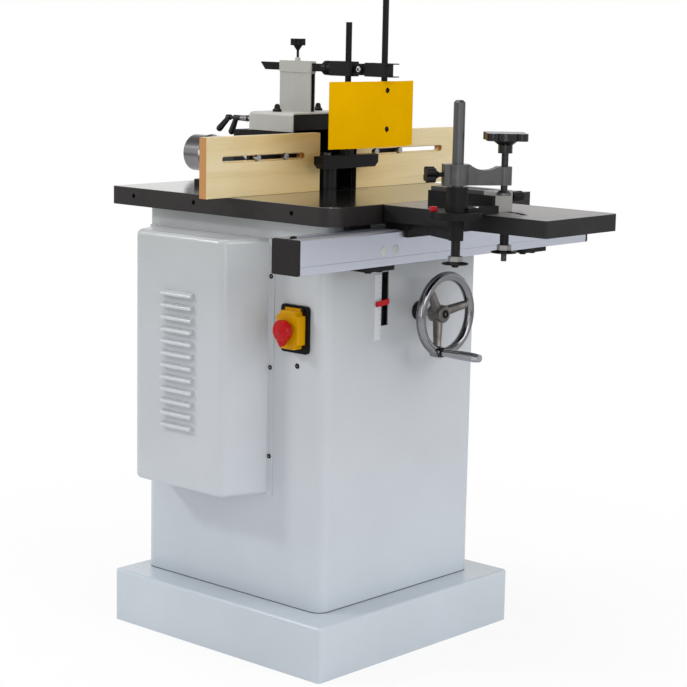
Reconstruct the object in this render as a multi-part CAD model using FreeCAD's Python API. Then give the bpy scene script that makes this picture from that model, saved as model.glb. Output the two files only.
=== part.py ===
"""Spindle moulder on a sheet-steel cabinet, with a cast table, a hooded fence and a small sliding table.

Millimetres. +X runs along the fence to the operator's right, +Y to the back, +Z up.
The origin is on the floor under the middle of the plinth.
"""
import FreeCAD, Part
import math
import os

Vec = FreeCAD.Vector

# clearances shared by many pieces
overrun = 2.0
running_gap = 0.05
slide_gap = 0.3
loose_gap = 0.5
edge_break = 3.0
hex_sides = 6

# plinth: folded tray, open below
plinth_width = 557.0
plinth_depth = 554.0
plinth_height = 104.0
plinth_sheet = 3.0
plinth_corner = 8.0
plinth_edge = 5.0
plinth_flange = 42.0
anchor_hole = 14.0

# cabinet: folded sheet column
cabinet_left = -218.0
cabinet_front = -220.0
cabinet_width = 446.0
cabinet_depth = 473.0
cabinet_sheet = 2.5
cabinet_corner = 25.0
cabinet_flange = 28.0
motor_window_front = -30.0
motor_window_back = 186.0
motor_window_drop = 78.0
motor_window_height = 382.0
scale_slot_offset = 117.0
scale_slot_width = 20.0
scale_slot_drop = 232.0
scale_slot_height = 101.0

# motor cover: louvred sheet box on the left of the cabinet
cover_reach = 87.0
cover_drop = 552.0
cover_height = 482.0
cover_face_front = -46.0
cover_face_back = 190.0
cover_slope = 36.0
cover_sheet = 2.0
cover_bend = 24.0
cover_rim_bend = 9.0
cover_flange = 14.0
louvre_count = 12
louvre_length = 82.0
louvre_rise = 9.0
louvre_sheet = 1.2
louvre_start = 116.0
louvre_pitch = 22.8
louvre_middle = 70.0

# table: ribbed casting with a rounded front corner
table_height = 860.0
table_edge = 35.0
table_skin = 12.0
table_left_overhang = 24.0
table_right_overhang = 113.0
table_front_overhang = 35.0
table_back_overhang = 69.0
table_rim = 16.0
table_corner = 34.0
table_rib = 10.0
table_opening = 170.0
table_lip = 8.0
ring_thickness = 8.0
table_boss = 214.0
table_boss_drop = 12.0
edge_hole = 9.0
edge_hole_depth = 12.0
edge_hole_drop = 16.0
edge_hole_shares = (0.17, 0.61, 0.90)

# insert rings
ring_split = 112.0
ring_rebate = 4.0
ring_rebate_width = 5.0
ring_bore = 72.0

# spindle axis, measured from the cabinet's right side
spindle_inset = 173.0
spindle_y = 35.0

# guide rail: hollow extrusion with slots above and below
rail_left = -371.0
rail_length = 841.0
rail_size = 62.0
rail_reach = 47.0
rail_drop = 43.5
rail_corner = 3.0
rail_wall = 4.0
rail_slot = 10.0
rail_slot_inner = 20.0
rail_slot_depth = 13.0
rail_lip = 4.0
rail_groove = 1.2
rail_groove_drop = 46.0
cap_thickness = 7.0
cap_plug = 16.0

# rail brackets
bracket_width = 80.0
bracket_left_inset = 52.0
bracket_right_overhang = 10.0
bracket_plate = 9.0
bracket_back = 12.0
bracket_setback = 6.0
bracket_corner = 10.0

# switch: face plate, body through the panel, hinged lid and buttons
switch_y = -152.0
switch_drop = 229.0
switch_width = 68.0
switch_height = 88.0
switch_plate = 6.0
switch_corner = 7.0
switch_body_width = 50.0
switch_body_height = 70.0
switch_body_depth = 46.0
lid_width = 54.0
lid_height = 70.0
lid_notch = 8.0
lid_depth = 20.0
lid_wall = 2.0
lid_corner = 3.0
lid_pin = 2.0
lid_ear = 6.0
stop_width = 40.0
stop_cap = 15.0
stop_stem = 20.0
stop_travel = 4.0
stop_dome = 3.0
stop_tail = 9.0
stop_tail_tip = 9.0
start_size = 20.0
start_rise = 6.0
start_travel = 3.0
start_drop = 18.0
start_round = 2.0

# handwheel with crank handle
wheel_offset = 10.0
wheel_drop = 213.0
wheel_reach = 67.0
wheel_dish = 15.0
wheel_size = 162.0
wheel_rim = 18.0
hub_size = 33.0
hub_length = 30.0
spoke_root = 19.0
spoke_tip = 14.0
spoke_count = 3
spoke_angle = 252.0
crank_radius_share = 0.89
crank_boss = 22.0
crank_boss_length = 20.0
crank_pin = 10.0
crank_pin_length = 87.0
handle_size = 17.5
handle_waist = 14.5
handle_head = 4.0
handle_length_shares = (0.12, 0.55, 0.86)
shaft_size = 16.0
bush_flange = 36.0
bush_flange_thickness = 8.0
bush_body = 26.0
bush_length = 24.0

# bevel pair and lift screw
screw_y = -62.0
screw_size = 16.0
screw_drop = 390.0
screw_journal = 12.0
bevel_pitch = 17.0
bevel_face = 8.0
bevel_gap = 1.0
bevel_teeth = 16
bevel_groove = 3.0
nut_boss = 36.0
nut_length = 30.0

# quill and its bracket under the table
quill_size = 92.0
quill_bore = 50.0
quill_drop = 320.0
quill_length = 230.0
bearing_outer = 62.0
bearing_width = 16.0
bearing_groove = 2.0
sleeve_wall = 12.0
sleeve_drop = 170.0
bracket_flange = 12.0
gusset_count = 4
gusset_angle = 45.0
gusset_thickness = 9.0
screw_lug_height = 22.0
screw_lug_side = 15.0

# motor, its plate and the belt drive
motor_inset = 28.0
motor_setback = 37.0
motor_size = 150.0
motor_length = 175.0
motor_bell = 22.0
motor_fin_count = 20
motor_fin_depth = 5.0
motor_fin_width = 5.0
motor_shaft = 24.0
motor_shaft_gap = 3.0
terminal_size = 60.0
terminal_height = 70.0
terminal_depth = 26.0
plate_thickness = 14.0
plate_rise = 6.0
plate_quill_margin = 17.0
plate_motor_margin = 6.0
pulley_height = 32.0
pulley_drop = 8.0
pulley_flange = 5.0
pulley_flange_rise = 7.0
motor_pulley_size = 120.0
spindle_pulley_size = 52.0
belt_thickness = 5.0

# spindle and what it carries
arbor_size = 30.0
shoulder_size = 48.0
shoulder_drop = 10.0
arbor_length = 80.0
thread_size = 24.0
thread_length = 18.0
spindle_core = 40.0
tail_size = 24.0
spacer_heights = (20.0, 10.0, 20.0, 10.0)
spindle_nut_size = 42.0
spindle_nut_height = 14.0

# red pointer of the height scale
pointer_strip = 3.0
pointer_width = 12.0
pointer_drop = 185.0
pointer_nose = 7.0
pointer_reach = 23.0
pointer_height = 10.0
pointer_slant = 3.0
pointer_foot = 22.0

# fence body with hood
fence_front = 0.0
board_thickness = 18.0
board_height = 112.0
board_length = 305.0
board_gap = 106.0
board_slot_height = 13.0
board_slot_narrow = 8.6
board_slot_step = 9.0
board_slot_rise = 70.0
board_slot_length = 221.0
left_slot_offset = 40.0
right_slot_offset = 45.0
board_bevel = 8.0
bolt_size = 8.0
bolt_head = 12.0
bolt_head_height = 6.0
bolt_nut = 14.0
bolt_nut_height = 7.0
bolt_tail = 5.0
left_bolt_offsets = (-219.0, -144.0)
right_bolt_offsets = (118.0, 190.0)
wing_thickness = 8.0
wing_margin = 9.0
base_width = 334.0
base_back = 240.0
base_thickness = 12.0
base_corner = 14.0
hood_width = 170.0
hood_front = 41.0
hood_depth = 164.0
hood_wall = 4.0
hood_step = 110.0
chamber_depth = 124.0
chamber_height = 145.0
brow_height = 30.0
cutter_opening = 150.0
lock_spread = 280.0
lock_y = 150.0
lock_stud = 10.0
lock_slot = 60.0
lock_knob_size = 42.0
lock_knob_height = 24.0
lock_knob_lobes = 5
rib_thickness = 8.0
rib_length = 100.0

# hood lid, hand nuts and suction pipe
lid_sheet = 2.5
lid_skirt = 36.0
lid_back_bend = 16.0
lid_side_bend = 6.0
hand_nut_size = 18.0
hand_nut_height = 15.0
hand_nut_shares = ((1.0, 0.0), (1.0, 0.25), (0.7, 0.4), (0.55, 0.85), (0.3, 1.0))
hand_nut_spread = 118.0
hand_nut_setback = 70.0
port_size = 75.0
port_wall = 2.0
port_rise = 49.5
port_length = 195.0
port_flange = 96.0
port_flange_thickness = 3.0
port_bead = 2.0
port_bead_width = 8.0
port_bead_setback = 40.0

# rear adjuster with claw handle
adjuster_offset = 59.0
adjuster_rise = 131.0
adjuster_rod = 7.0
adjuster_boss = 13.0
adjuster_boss_length = 18.0
adjuster_length = 48.0
adjuster_hub = 11.0
adjuster_hub_length = 20.0
adjuster_end_length = 10.0
adjuster_end_gap = 11.0
claw_angles = (262.0, 232.0)
claw_root = 10.0
claw_tip = 13.0
claw_radius = 28.0
claw_setback = 9.0

# guard post, bar and clamps
post_offset = 13.0
post_y = 101.0
post_depth = 84.0
post_thickness = 14.0
post_wall = 2.5
post_height = 99.0
post_cap = 22.0
post_cap_lip = 1.5
post_dome = 13.0
post_dome_top = 9.0
post_dome_height = 7.0
bar_width = 10.0
bar_height = 15.0
bar_drop = 19.0
bar_front = -10.0
bar_length = 208.0
bar_slant = 13.0
bar_knob_size = 36.0
bar_knob_height = 13.0
bar_knob_lobes = 4
bar_knob_hub = 10.0
bar_knob_stem = 5.0
bar_knob_lift = 23.0
clamp_width = 26.0
clamp_height = 28.0
clamp_front = -52.0
clamp_back = 8.0
clamp_corner = 6.0
clamp_neck = 21.0
clamp_neck_length = 5.0
clamp_collar = 28.0
clamp_collar_length = 17.0
clamp_collar_round = 5.0
clamp_slit = 2.0
lug_length = 32.0
lug_thickness = 9.0
lug_waist = 11.0
fork_cheek = 7.0
fork_front = -139.0
fork_height = 22.0
fork_plate = 2.0
fork_plate_reach = 13.0
link_bolt = 8.0
link_bolt_head = 4.0
rod_size = 12.0
rod_length = 270.0
shoe_rod_y = -33.0
guard_rod_y = -125.0

# pressure shoe and guard
shoe_rise = 46.0
shoe_length = 160.0
shoe_height = 24.0
shoe_depth = 24.0
shoe_boss = 26.0
shoe_boss_height = 10.0
shoe_rod_depth = 16.0
shoe_nose = 9.0
guard_reach = 151.0
guard_width = 242.0
guard_rise = 91.0
guard_height = 124.0
guard_sheet = 2.5
guard_fold_shares = (0.27, 0.82)
guard_left_setback = 9.0
guard_right_setback = 13.0
guard_bend = 40.0
guard_hole = 9.0
guard_hole_spread = 73.0
guard_hole_drop = 17.0
guard_rod_drop = 21.0

# sliding table and carriage
slide_left = -108.0
slide_width = 211.0
slide_front = -623.0
slide_table_gap = 2.0
slide_thickness = 30.6
slide_skin = 9.0
slide_rim = 12.0
slide_corner = 6.0
slide_slot = 11.0
slide_slot_boss = 10.0
carriage_margin = 10.0
carriage_lip = 9.0
carriage_lip_drop = 26.0
carriage_tongue = 9.4
carriage_head = 18.0
carriage_head_height = 5.0
carriage_arm = 13.0
carriage_boss = 26.0

# mitre base and fence
pivot_x = -155.0
pivot_y = -466.0
disc_size = 88.0
disc_drop = 6.0
disc_thickness = 12.5
foot_thickness = 7.0
foot_width = 52.0
upright_thickness = 8.0
upright_height = 30.0
sleeve_size = 38.0
sleeve_height = 42.0
pivot_stud = 12.0
pivot_stud_length = 84.0
mitre_width = 49.0
mitre_height = 37.0
mitre_length = 146.0
mitre_front = -484.0
mitre_left = -70.0
mitre_wall = 3.0
mitre_groove = 9.0
mitre_groove_depth = 6.0
front_stud_x = -33.0
front_stud_y = -478.0
front_stud = 10.0
front_stud_length = 88.0
mitre_swing = 30.0
lock_sleeve = 16.0
lock_nut = 26.0
lock_nut_height = 9.0
lock_flange = 46.0
lock_flange_taper = 3.0
lock_flange_edge = 2.0
pivot_lock_sleeve = 27.0
front_lock_sleeve = 28.0
fence_knob_size = 18.0
fence_knob_lobes = 8
fence_knob_length = 30.0
fence_knob_stem = 8.0
fence_knob_stem_length = 16.0
fence_knob_entry = 12.0
fence_knob_setback = 16.0
fence_knob_rise = 24.0

# work clamp
column_size = 20.0
column_rise = 197.0
column_round = 4.0
arm_rise = 52.0
arm_hub = 38.0
arm_hub_height = 36.0
arm_reach = 84.0
arm_angle = -35.0
arm_boss = 26.0
arm_boss_height = 32.0
arm_web_height = 26.0
arm_web = 20.0
arm_ear = 14.0
clamp_screw_size = 12.0
clamp_screw_rise = 107.0
clamp_knob_hub = 25.0
clamp_knob_hub_height = 14.0
clamp_knob_flare = 46.0
clamp_knob_flare_height = 8.0
clamp_knob_size = 92.0
clamp_knob_height = 13.0
clamp_knob_lobe = 22.0
clamp_knob_lobes = 4
pad_size = 26.0
pad_height = 9.0
pad_rise = 43.0
pad_socket = 5.0
pad_wall = 3.0
wing_stem = 8.0
wing_stem_length = 7.0
wing_size = 30.0
wing_lobe = 13.0
wing_lobes = 4
wing_length = 16.0
wing_neck = 20.0
wing_neck_length = 8.0

# places worked out from the sizes above
cabinet_right = cabinet_left + cabinet_width
cabinet_back = cabinet_front + cabinet_depth
cabinet_top = table_height - table_edge
spindle_x = cabinet_right - spindle_inset
motor_x = cabinet_left + motor_inset
motor_y = spindle_y + motor_setback
motor_window_top = table_height - motor_window_drop
motor_window_bottom = motor_window_top - motor_window_height
scale_slot_left = spindle_x - scale_slot_offset
scale_slot_bottom = table_height - scale_slot_drop
cover_face = cabinet_left - cover_reach
cover_bottom = table_height - cover_drop
louvre_first = cover_bottom + louvre_start
table_left = cabinet_left - table_left_overhang
table_right = cabinet_right + table_right_overhang
table_front = cabinet_front - table_front_overhang
table_back = cabinet_back + table_back_overhang
table_depth = table_back - table_front
table_under = table_height - table_skin
rail_front = table_front - rail_reach
rail_back = rail_front + rail_size
rail_top = table_height - rail_drop
rail_bottom = rail_top - rail_size
bracket_left_x = table_left + bracket_left_inset
bracket_right_x = table_right + bracket_right_overhang - bracket_width
switch_z = table_height - switch_drop
lid_half_crown = lid_width / 2 - lid_notch
lid_pin_x = cabinet_left - switch_plate - lid_ear / 2 - slide_gap
lid_pin_z = switch_z + lid_height / 2 + lid_pin + slide_gap
wheel_x = spindle_x - wheel_offset
wheel_y = cabinet_front - wheel_reach
wheel_z = table_height - wheel_drop
hub_front = wheel_y + wheel_dish - hub_length / 2
screw_bottom = table_height - screw_drop
sleeve_bottom = table_height - sleeve_drop
quill_bottom = table_height - quill_drop
quill_top = quill_bottom + quill_length
shoulder_top = table_height - shoulder_drop
pointer_z = table_height - pointer_drop
plate_bottom = quill_bottom + plate_rise
plate_top = plate_bottom + plate_thickness
pulley_top = quill_bottom - pulley_drop
pulley_bottom = pulley_top - pulley_height
left_bolts = tuple(spindle_x + offset for offset in left_bolt_offsets)
right_bolts = tuple(spindle_x + offset for offset in right_bolt_offsets)
base_left = spindle_x - base_width / 2
base_right = spindle_x + base_width / 2
lock_x_left = spindle_x - lock_spread / 2
lock_x_right = spindle_x + lock_spread / 2
board_back = fence_front + board_thickness
board_bottom = table_height + slide_gap
hood_base = table_height + slide_gap
hood_left = spindle_x - hood_width / 2
hood_right = spindle_x + hood_width / 2
hood_back = hood_front + hood_depth
chamber_back = hood_front + chamber_depth
chamber_top = table_height + chamber_height
hood_step_top = table_height + hood_step
lid_top = chamber_top + loose_gap + lid_sheet
port_z = table_height + port_rise
adjuster_x = spindle_x - adjuster_offset
adjuster_z = table_height + adjuster_rise
post_x = spindle_x - post_offset
bar_z = lid_top + post_height - bar_drop
bar_middle = bar_z + bar_height / 2
lug_eye = clamp_front - lug_length + fork_height / 2
shoe_bottom = table_height + shoe_rise
guard_left = post_x - guard_reach
guard_bottom = table_height + guard_rise
slide_top = table_height
slide_bottom = slide_top - slide_thickness
slide_right = slide_left + slide_width
slide_back = table_front - slide_table_gap
disc_bottom = table_height - disc_drop
disc_top = disc_bottom + disc_thickness
mitre_bottom = table_height + slide_gap
column_top = table_height + column_rise
arm_bottom = table_height + arm_rise
clamp_screw_top = table_height + clamp_screw_rise
pad_top = table_height + pad_rise


def block(x0, x1, y0, y1, z0, z1):
    """Box between two corners."""
    return Part.makeBox(x1 - x0, y1 - y0, z1 - z0, Vec(x0, y0, z0))


def bar(size, start, end):
    """Round bar of a given diameter from one point to another."""
    run = end - start
    return Part.makeCylinder(size / 2, run.Length, start, run)


def prism(points, sweep):
    """Solid with a straight-sided outline."""
    wire = Part.makePolygon(list(points) + [points[0]])
    return Part.Face(wire).extrude(sweep)


def rounded_block(x0, x1, y0, y1, z0, z1, radius):
    """Box whose four upright edges are rounded."""
    solid = block(x0, x1, y0, y1, z0, z1)
    upright = [e for e in solid.Edges if abs(e.tangentAt(e.FirstParameter).z) > 0.99]
    return solid.makeFillet(radius, upright)


def turned(profile, base, axis):
    """Solid of revolution from (radius, height) pairs, along an axis from a base point."""
    points = [Vec(r, 0, h) for r, h in profile]
    face = Part.Face(Part.makePolygon(points + [points[0]]))
    solid = face.revolve(Vec(), Vec(0, 0, 1), 360)
    solid.Placement = FreeCAD.Placement(base, FreeCAD.Rotation(Vec(0, 0, 1), axis))
    return solid


def fused(shapes):
    """One clean solid from several that touch or cross."""
    whole = shapes[0]
    if len(shapes) > 1:
        whole = shapes[0].multiFuse(list(shapes[1:]))
    return whole.removeSplitter()


def hull(centre_a, size_a, centre_b, size_b, z0, z1):
    """Upright solid round two discs and their outer tangents."""
    radius_a = size_a / 2
    radius_b = size_b / 2
    run = Vec(centre_b[0] - centre_a[0], centre_b[1] - centre_a[1], 0)
    heading = math.atan2(run.y, run.x)
    spread = math.acos((radius_a - radius_b) / run.Length)

    def on_disc(centre, radius, angle):
        return Vec(centre[0] + radius * math.cos(angle), centre[1] + radius * math.sin(angle), z0)

    a_start = on_disc(centre_a, radius_a, heading + spread)
    a_far = on_disc(centre_a, radius_a, heading + math.pi)
    a_end = on_disc(centre_a, radius_a, heading - spread)
    b_start = on_disc(centre_b, radius_b, heading - spread)
    b_far = on_disc(centre_b, radius_b, heading)
    b_end = on_disc(centre_b, radius_b, heading + spread)
    edges = [
        Part.Arc(a_start, a_far, a_end).toShape(),
        Part.makeLine(a_end, b_start),
        Part.Arc(b_start, b_far, b_end).toShape(),
        Part.makeLine(b_end, a_start),
    ]
    return Part.Face(Part.Wire(edges)).extrude(Vec(0, 0, z1 - z0))


def star(size, lobe, count, height, base, axis):
    """Lobed hand knob: a core disc with round lobes on its edge."""
    reach = (size - lobe) / 2
    pieces = [Part.makeCylinder(reach, height)]
    for k in range(count):
        angle = 2 * math.pi * k / count
        pieces.append(Part.makeCylinder(lobe / 2, height,
                                        Vec(reach * math.cos(angle), reach * math.sin(angle), 0)))
    solid = fused(pieces)
    solid.Placement = FreeCAD.Placement(base, FreeCAD.Rotation(Vec(0, 0, 1), axis))
    return solid


def hexagon(size, height, base):
    """Upright six-sided prism, measured over its corners."""
    corners = []
    for k in range(hex_sides):
        angle = 2 * math.pi * k / hex_sides
        corners.append(base + Vec(size / 2 * math.cos(angle), size / 2 * math.sin(angle), 0))
    return prism(corners, Vec(0, 0, height))


def edges_where(shape, test):
    """Edges of a shape whose middle point passes a test."""
    return [e for e in shape.Edges if test(e.CenterOfMass)]


def make_plinth():
    half_x = plinth_width / 2
    half_y = plinth_depth / 2
    shell = rounded_block(-half_x, half_x, -half_y, half_y, 0, plinth_height, plinth_corner)
    shell = shell.makeFillet(plinth_edge, edges_where(shell, lambda p: p.z > plinth_height - plinth_sheet))
    inner_x = half_x - plinth_sheet
    inner_y = half_y - plinth_sheet
    inner = rounded_block(-inner_x, inner_x, -inner_y, inner_y, plinth_sheet,
                          plinth_height - plinth_sheet, plinth_corner - plinth_sheet)
    hole_x = half_x - plinth_flange
    hole_y = half_y - plinth_flange
    bottom_hole = block(-hole_x, hole_x, -hole_y, hole_y, -overrun, plinth_sheet + overrun)
    top_hole = block(cabinet_left + cabinet_flange, cabinet_right - cabinet_flange,
                     cabinet_front + cabinet_flange, cabinet_back - cabinet_flange,
                     plinth_height - plinth_sheet - overrun, plinth_height + overrun)
    cutters = [inner, bottom_hole, top_hole]
    anchor_x = half_x - plinth_flange / 2
    anchor_y = half_y - plinth_flange / 2
    for x in (-anchor_x, anchor_x):
        for y in (-anchor_y, anchor_y):
            cutters.append(bar(anchor_hole, Vec(x, y, -overrun), Vec(x, y, plinth_sheet + overrun)))
    return shell.cut(cutters)


def make_cabinet():
    bottom = plinth_height
    shell = rounded_block(cabinet_left, cabinet_right, cabinet_front, cabinet_back, bottom, cabinet_top,
                          cabinet_corner)
    inner = rounded_block(cabinet_left + cabinet_sheet, cabinet_right - cabinet_sheet,
                          cabinet_front + cabinet_sheet, cabinet_back - cabinet_sheet,
                          bottom + cabinet_sheet, cabinet_top - cabinet_sheet,
                          cabinet_corner - cabinet_sheet)
    mouth = block(cabinet_left + cabinet_flange, cabinet_right - cabinet_flange,
                  cabinet_front + cabinet_flange, cabinet_back - cabinet_flange,
                  bottom - overrun, cabinet_top + overrun)
    window = block(cabinet_left - overrun, cabinet_left + cabinet_sheet + overrun,
                   motor_window_front, motor_window_back, motor_window_bottom, motor_window_top)
    slot = block(scale_slot_left, scale_slot_left + scale_slot_width,
                 cabinet_front - overrun, cabinet_front + cabinet_sheet + overrun,
                 scale_slot_bottom, scale_slot_bottom + scale_slot_height)
    shaft_hole = bar(bush_body, Vec(wheel_x, cabinet_front - overrun, wheel_z),
                     Vec(wheel_x, cabinet_front + cabinet_sheet + overrun, wheel_z))
    switch_hole = block(cabinet_left - overrun, cabinet_left + cabinet_sheet + overrun,
                        switch_y - switch_body_width / 2, switch_y + switch_body_width / 2,
                        switch_z - switch_body_height / 2, switch_z + switch_body_height / 2)
    return shell.cut([inner, mouth, window, slot, shaft_hole, switch_hole])


def cover_body(shrink):
    """Closed form of the motor cover, drawn in on all sides but the cabinet's by a sheet thickness."""
    slope_angle = math.atan2(cover_slope, cover_reach)
    side_shift = shrink / math.cos(slope_angle)
    face_shift = side_shift - shrink * math.tan(slope_angle)
    root_front = cover_face_front - cover_slope + side_shift
    root_back = cover_face_back + cover_slope - side_shift
    front = cover_face_front + face_shift
    back = cover_face_back - face_shift
    z0 = cover_bottom + shrink
    outline = [
        Vec(cabinet_left, root_front, z0),
        Vec(cover_face + shrink, front, z0),
        Vec(cover_face + shrink, back, z0),
        Vec(cabinet_left, root_back, z0),
    ]
    height = cover_height - 2 * shrink
    solid = prism(outline, Vec(0, 0, height))

    def on_bend(p):
        outer = p.x < cover_face + cover_sheet + shrink
        half_way = abs(p.z - z0 - height / 2) < shrink + overrun
        return outer and half_way and abs(p.y - (front + back) / 2) > louvre_length

    def on_rim(p):
        return p.x < cabinet_left - overrun and (p.z < z0 + overrun or p.z > z0 + height - overrun)

    solid = solid.makeFillet(cover_bend - shrink, edges_where(solid, on_bend))
    return solid.makeFillet(cover_rim_bend - shrink, edges_where(solid, on_rim))


def make_cover():
    shell = cover_body(0).cut(cover_body(cover_sheet))
    flanges = []
    for edge, way in ((cover_face_front - cover_slope, -1), (cover_face_back + cover_slope, 1)):
        y0, y1 = sorted((edge - way * cover_sheet, edge + way * cover_flange))
        flanges.append(block(cabinet_left - cover_sheet, cabinet_left, y0, y1,
                             cover_bottom, cover_bottom + cover_height))
    shell = fused([shell] + flanges)
    y0 = louvre_middle - louvre_length / 2
    y1 = louvre_middle + louvre_length / 2
    inner = louvre_rise - louvre_sheet
    hoods = []
    slots = []
    for k in range(louvre_count):
        z = louvre_first + louvre_pitch * k
        corner = Vec(cover_face, y0, z)
        hood = Part.makeCylinder(louvre_rise, louvre_length, corner, Vec(0, 1, 0))
        hood = hood.common(block(cover_face - louvre_rise, cover_face, y0, y1, z, z + louvre_rise))
        hollow = Part.makeCylinder(inner, louvre_length - 2 * louvre_sheet,
                                   Vec(cover_face, y0 + louvre_sheet, z), Vec(0, 1, 0))
        hoods.append(hood.cut(hollow))
        slots.append(block(cover_face - overrun, cover_face + cover_sheet + overrun,
                           y0 + louvre_sheet, y1 - louvre_sheet, z, z + inner))
    return fused([shell.cut(slots)] + hoods)


def table_outline(inset, z0, z1):
    """Table's plan with its large front-left corner, drawn in by an inset."""
    solid = block(table_left + inset, table_right - inset, table_front + inset, table_back - inset, z0, z1)
    large = edges_where(solid, lambda p: p.x < spindle_x - table_corner and p.y < spindle_y - table_corner
                        and z0 < p.z < z1 and abs(p.z - (z0 + z1) / 2) < (z1 - z0) / 4
                        and p.x < table_left + inset + overrun and p.y < table_front + inset + overrun)
    return solid.makeFillet(table_corner - inset, large)


def make_table():
    plate = table_outline(0, cabinet_top, table_height)
    hollow = table_outline(table_rim, cabinet_top - overrun, table_under)
    body = plate.cut(hollow)
    seat = block(cabinet_left, cabinet_right, cabinet_front, cabinet_back, cabinet_top, table_under)
    seat = seat.cut(block(cabinet_left + cabinet_flange, cabinet_right - cabinet_flange,
                          cabinet_front + cabinet_flange, cabinet_back - cabinet_flange,
                          cabinet_top - overrun, table_height))
    additions = [body, seat]
    for x in (bracket_left_x, bracket_right_x):
        additions.append(block(x + bracket_corner, x + bracket_width - bracket_corner, table_front,
                               rail_back + bracket_back, cabinet_top, table_under))
    for y in (table_front + table_rim, cabinet_back):
        length = cabinet_front - table_front if y < spindle_y else table_back - cabinet_back
        for x in (cabinet_left, spindle_x, cabinet_right - table_rib):
            additions.append(block(x, x + table_rib, y - table_rim / 2, y + length - table_rim / 2,
                                   cabinet_top, table_under))
    for y in (cabinet_front, spindle_y, cabinet_back - table_rib):
        additions.append(block(cabinet_right - table_rib, table_right - table_rim / 2, y, y + table_rib,
                               cabinet_top, table_under))
    axis = Vec(spindle_x, spindle_y, 0)
    boss_bottom = table_under - table_boss_drop
    additions.append(bar(table_boss, axis + Vec(0, 0, boss_bottom), axis + Vec(0, 0, table_under)))
    solid = fused(additions)
    cutters = [bar(table_opening, axis + Vec(0, 0, table_height - ring_thickness),
                   axis + Vec(0, 0, table_height + overrun)),
               bar(table_opening - 2 * table_lip, axis + Vec(0, 0, boss_bottom - overrun),
                   axis + Vec(0, 0, table_height))]
    for share in edge_hole_shares:
        y = table_front + table_depth * share
        z = table_height - edge_hole_drop
        cutters.append(bar(edge_hole, Vec(table_left - overrun, y, z),
                           Vec(table_left + edge_hole_depth, y, z)))
    for x in (lock_x_left, lock_x_right):
        cutters.append(bar(lock_stud + 2 * running_gap, Vec(x, lock_y, table_under - overrun),
                           Vec(x, lock_y, table_height + overrun)))
    return solid.cut(cutters)


def make_insert_rings():
    bottom = table_height - ring_thickness
    step = table_height - ring_rebate
    outer_radius = table_opening / 2 - slide_gap
    split = ring_split / 2
    outer = turned([(split - ring_rebate_width, bottom), (outer_radius, bottom),
                    (outer_radius, table_height), (split, table_height), (split, step),
                    (split - ring_rebate_width, step)], Vec(spindle_x, spindle_y, 0), Vec(0, 0, 1))
    inner_radius = split - slide_gap
    inner = turned([(ring_bore / 2, step), (inner_radius, step), (inner_radius, table_height),
                    (ring_bore / 2, table_height)], Vec(spindle_x, spindle_y, 0), Vec(0, 0, 1))
    return Part.makeCompound([outer, inner])


def rail_slot_cut(z_face, way):
    """T-slot along the rail, opening at a face."""
    middle = (rail_front + rail_back) / 2
    x0 = rail_left - overrun
    x1 = rail_left + rail_length + overrun
    neck_far = z_face + way * rail_lip
    deep = z_face + way * rail_slot_depth
    neck = block(x0, x1, middle - rail_slot / 2, middle + rail_slot / 2,
                 min(z_face - way * overrun, deep), max(z_face - way * overrun, deep))
    head = block(x0, x1, middle - rail_slot_inner / 2, middle + rail_slot_inner / 2,
                 min(neck_far, deep), max(neck_far, deep))
    return fused([neck, head])


def make_rail():
    solid = block(rail_left, rail_left + rail_length, rail_front, rail_back, rail_bottom, rail_top)
    long_edges = [e for e in solid.Edges if abs(e.tangentAt(e.FirstParameter).x) > 0.99]
    solid = solid.makeFillet(rail_corner, long_edges)
    x0 = rail_left - overrun
    x1 = rail_left + rail_length + overrun
    middle = (rail_front + rail_back) / 2
    core_half = rail_slot_inner / 2 + rail_wall
    lower = rail_bottom + rail_wall
    upper = rail_top - rail_wall
    cutters = [
        rail_slot_cut(rail_top, -1),
        rail_slot_cut(rail_bottom, 1),
        block(x0, x1, rail_front + rail_wall, middle - core_half, lower, upper),
        block(x0, x1, middle + core_half, rail_back - rail_wall, lower, upper),
        block(x0, x1, middle - core_half + rail_wall, middle + core_half - rail_wall,
              rail_bottom + rail_slot_depth + rail_wall, rail_top - rail_slot_depth - rail_wall),
    ]
    groove_z = rail_top - rail_groove_drop
    cutters.append(block(x0, x1, rail_front - overrun, rail_front + rail_groove, groove_z - rail_groove,
                         groove_z))
    return solid.cut(cutters)


def make_rail_caps():
    middle = (rail_front + rail_back) / 2
    core_half = rail_slot_inner / 2 + rail_wall
    caps = []
    for x_end, way in ((rail_left, -1), (rail_left + rail_length, 1)):
        x0, x1 = sorted((x_end, x_end + way * cap_thickness))
        plate = block(x0, x1, rail_front, rail_back, rail_bottom, rail_top)
        plate = plate.makeFillet(rail_corner,
                                 [e for e in plate.Edges if abs(e.tangentAt(e.FirstParameter).x) > 0.99])
        outer = edges_where(plate, lambda p: abs(p.x - (x_end + way * cap_thickness)) < running_gap)
        plate = plate.makeFillet(rail_groove, outer)
        p0, p1 = sorted((x_end, x_end - way * cap_plug))
        plugs = []
        for y0, y1 in ((rail_front + rail_wall, middle - core_half),
                       (middle + core_half, rail_back - rail_wall)):
            plugs.append(block(p0, p1, y0 + running_gap, y1 - running_gap,
                               rail_bottom + rail_wall + running_gap, rail_top - rail_wall - running_gap))
        caps.append(fused([plate] + plugs))
    return Part.makeCompound(caps)


def make_rail_brackets():
    brackets = []
    for x in (bracket_left_x, bracket_right_x):
        y0 = rail_front + bracket_setback
        y1 = rail_back + bracket_back
        plate = rounded_block(x, x + bracket_width, y0, y1, rail_bottom - bracket_plate, rail_bottom,
                              bracket_corner)
        leg = block(x + bracket_corner, x + bracket_width - bracket_corner, rail_back, y1,
                    rail_bottom - bracket_plate, cabinet_top)
        brackets.append(fused([plate, leg]))
    return Part.makeCompound(brackets)


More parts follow.
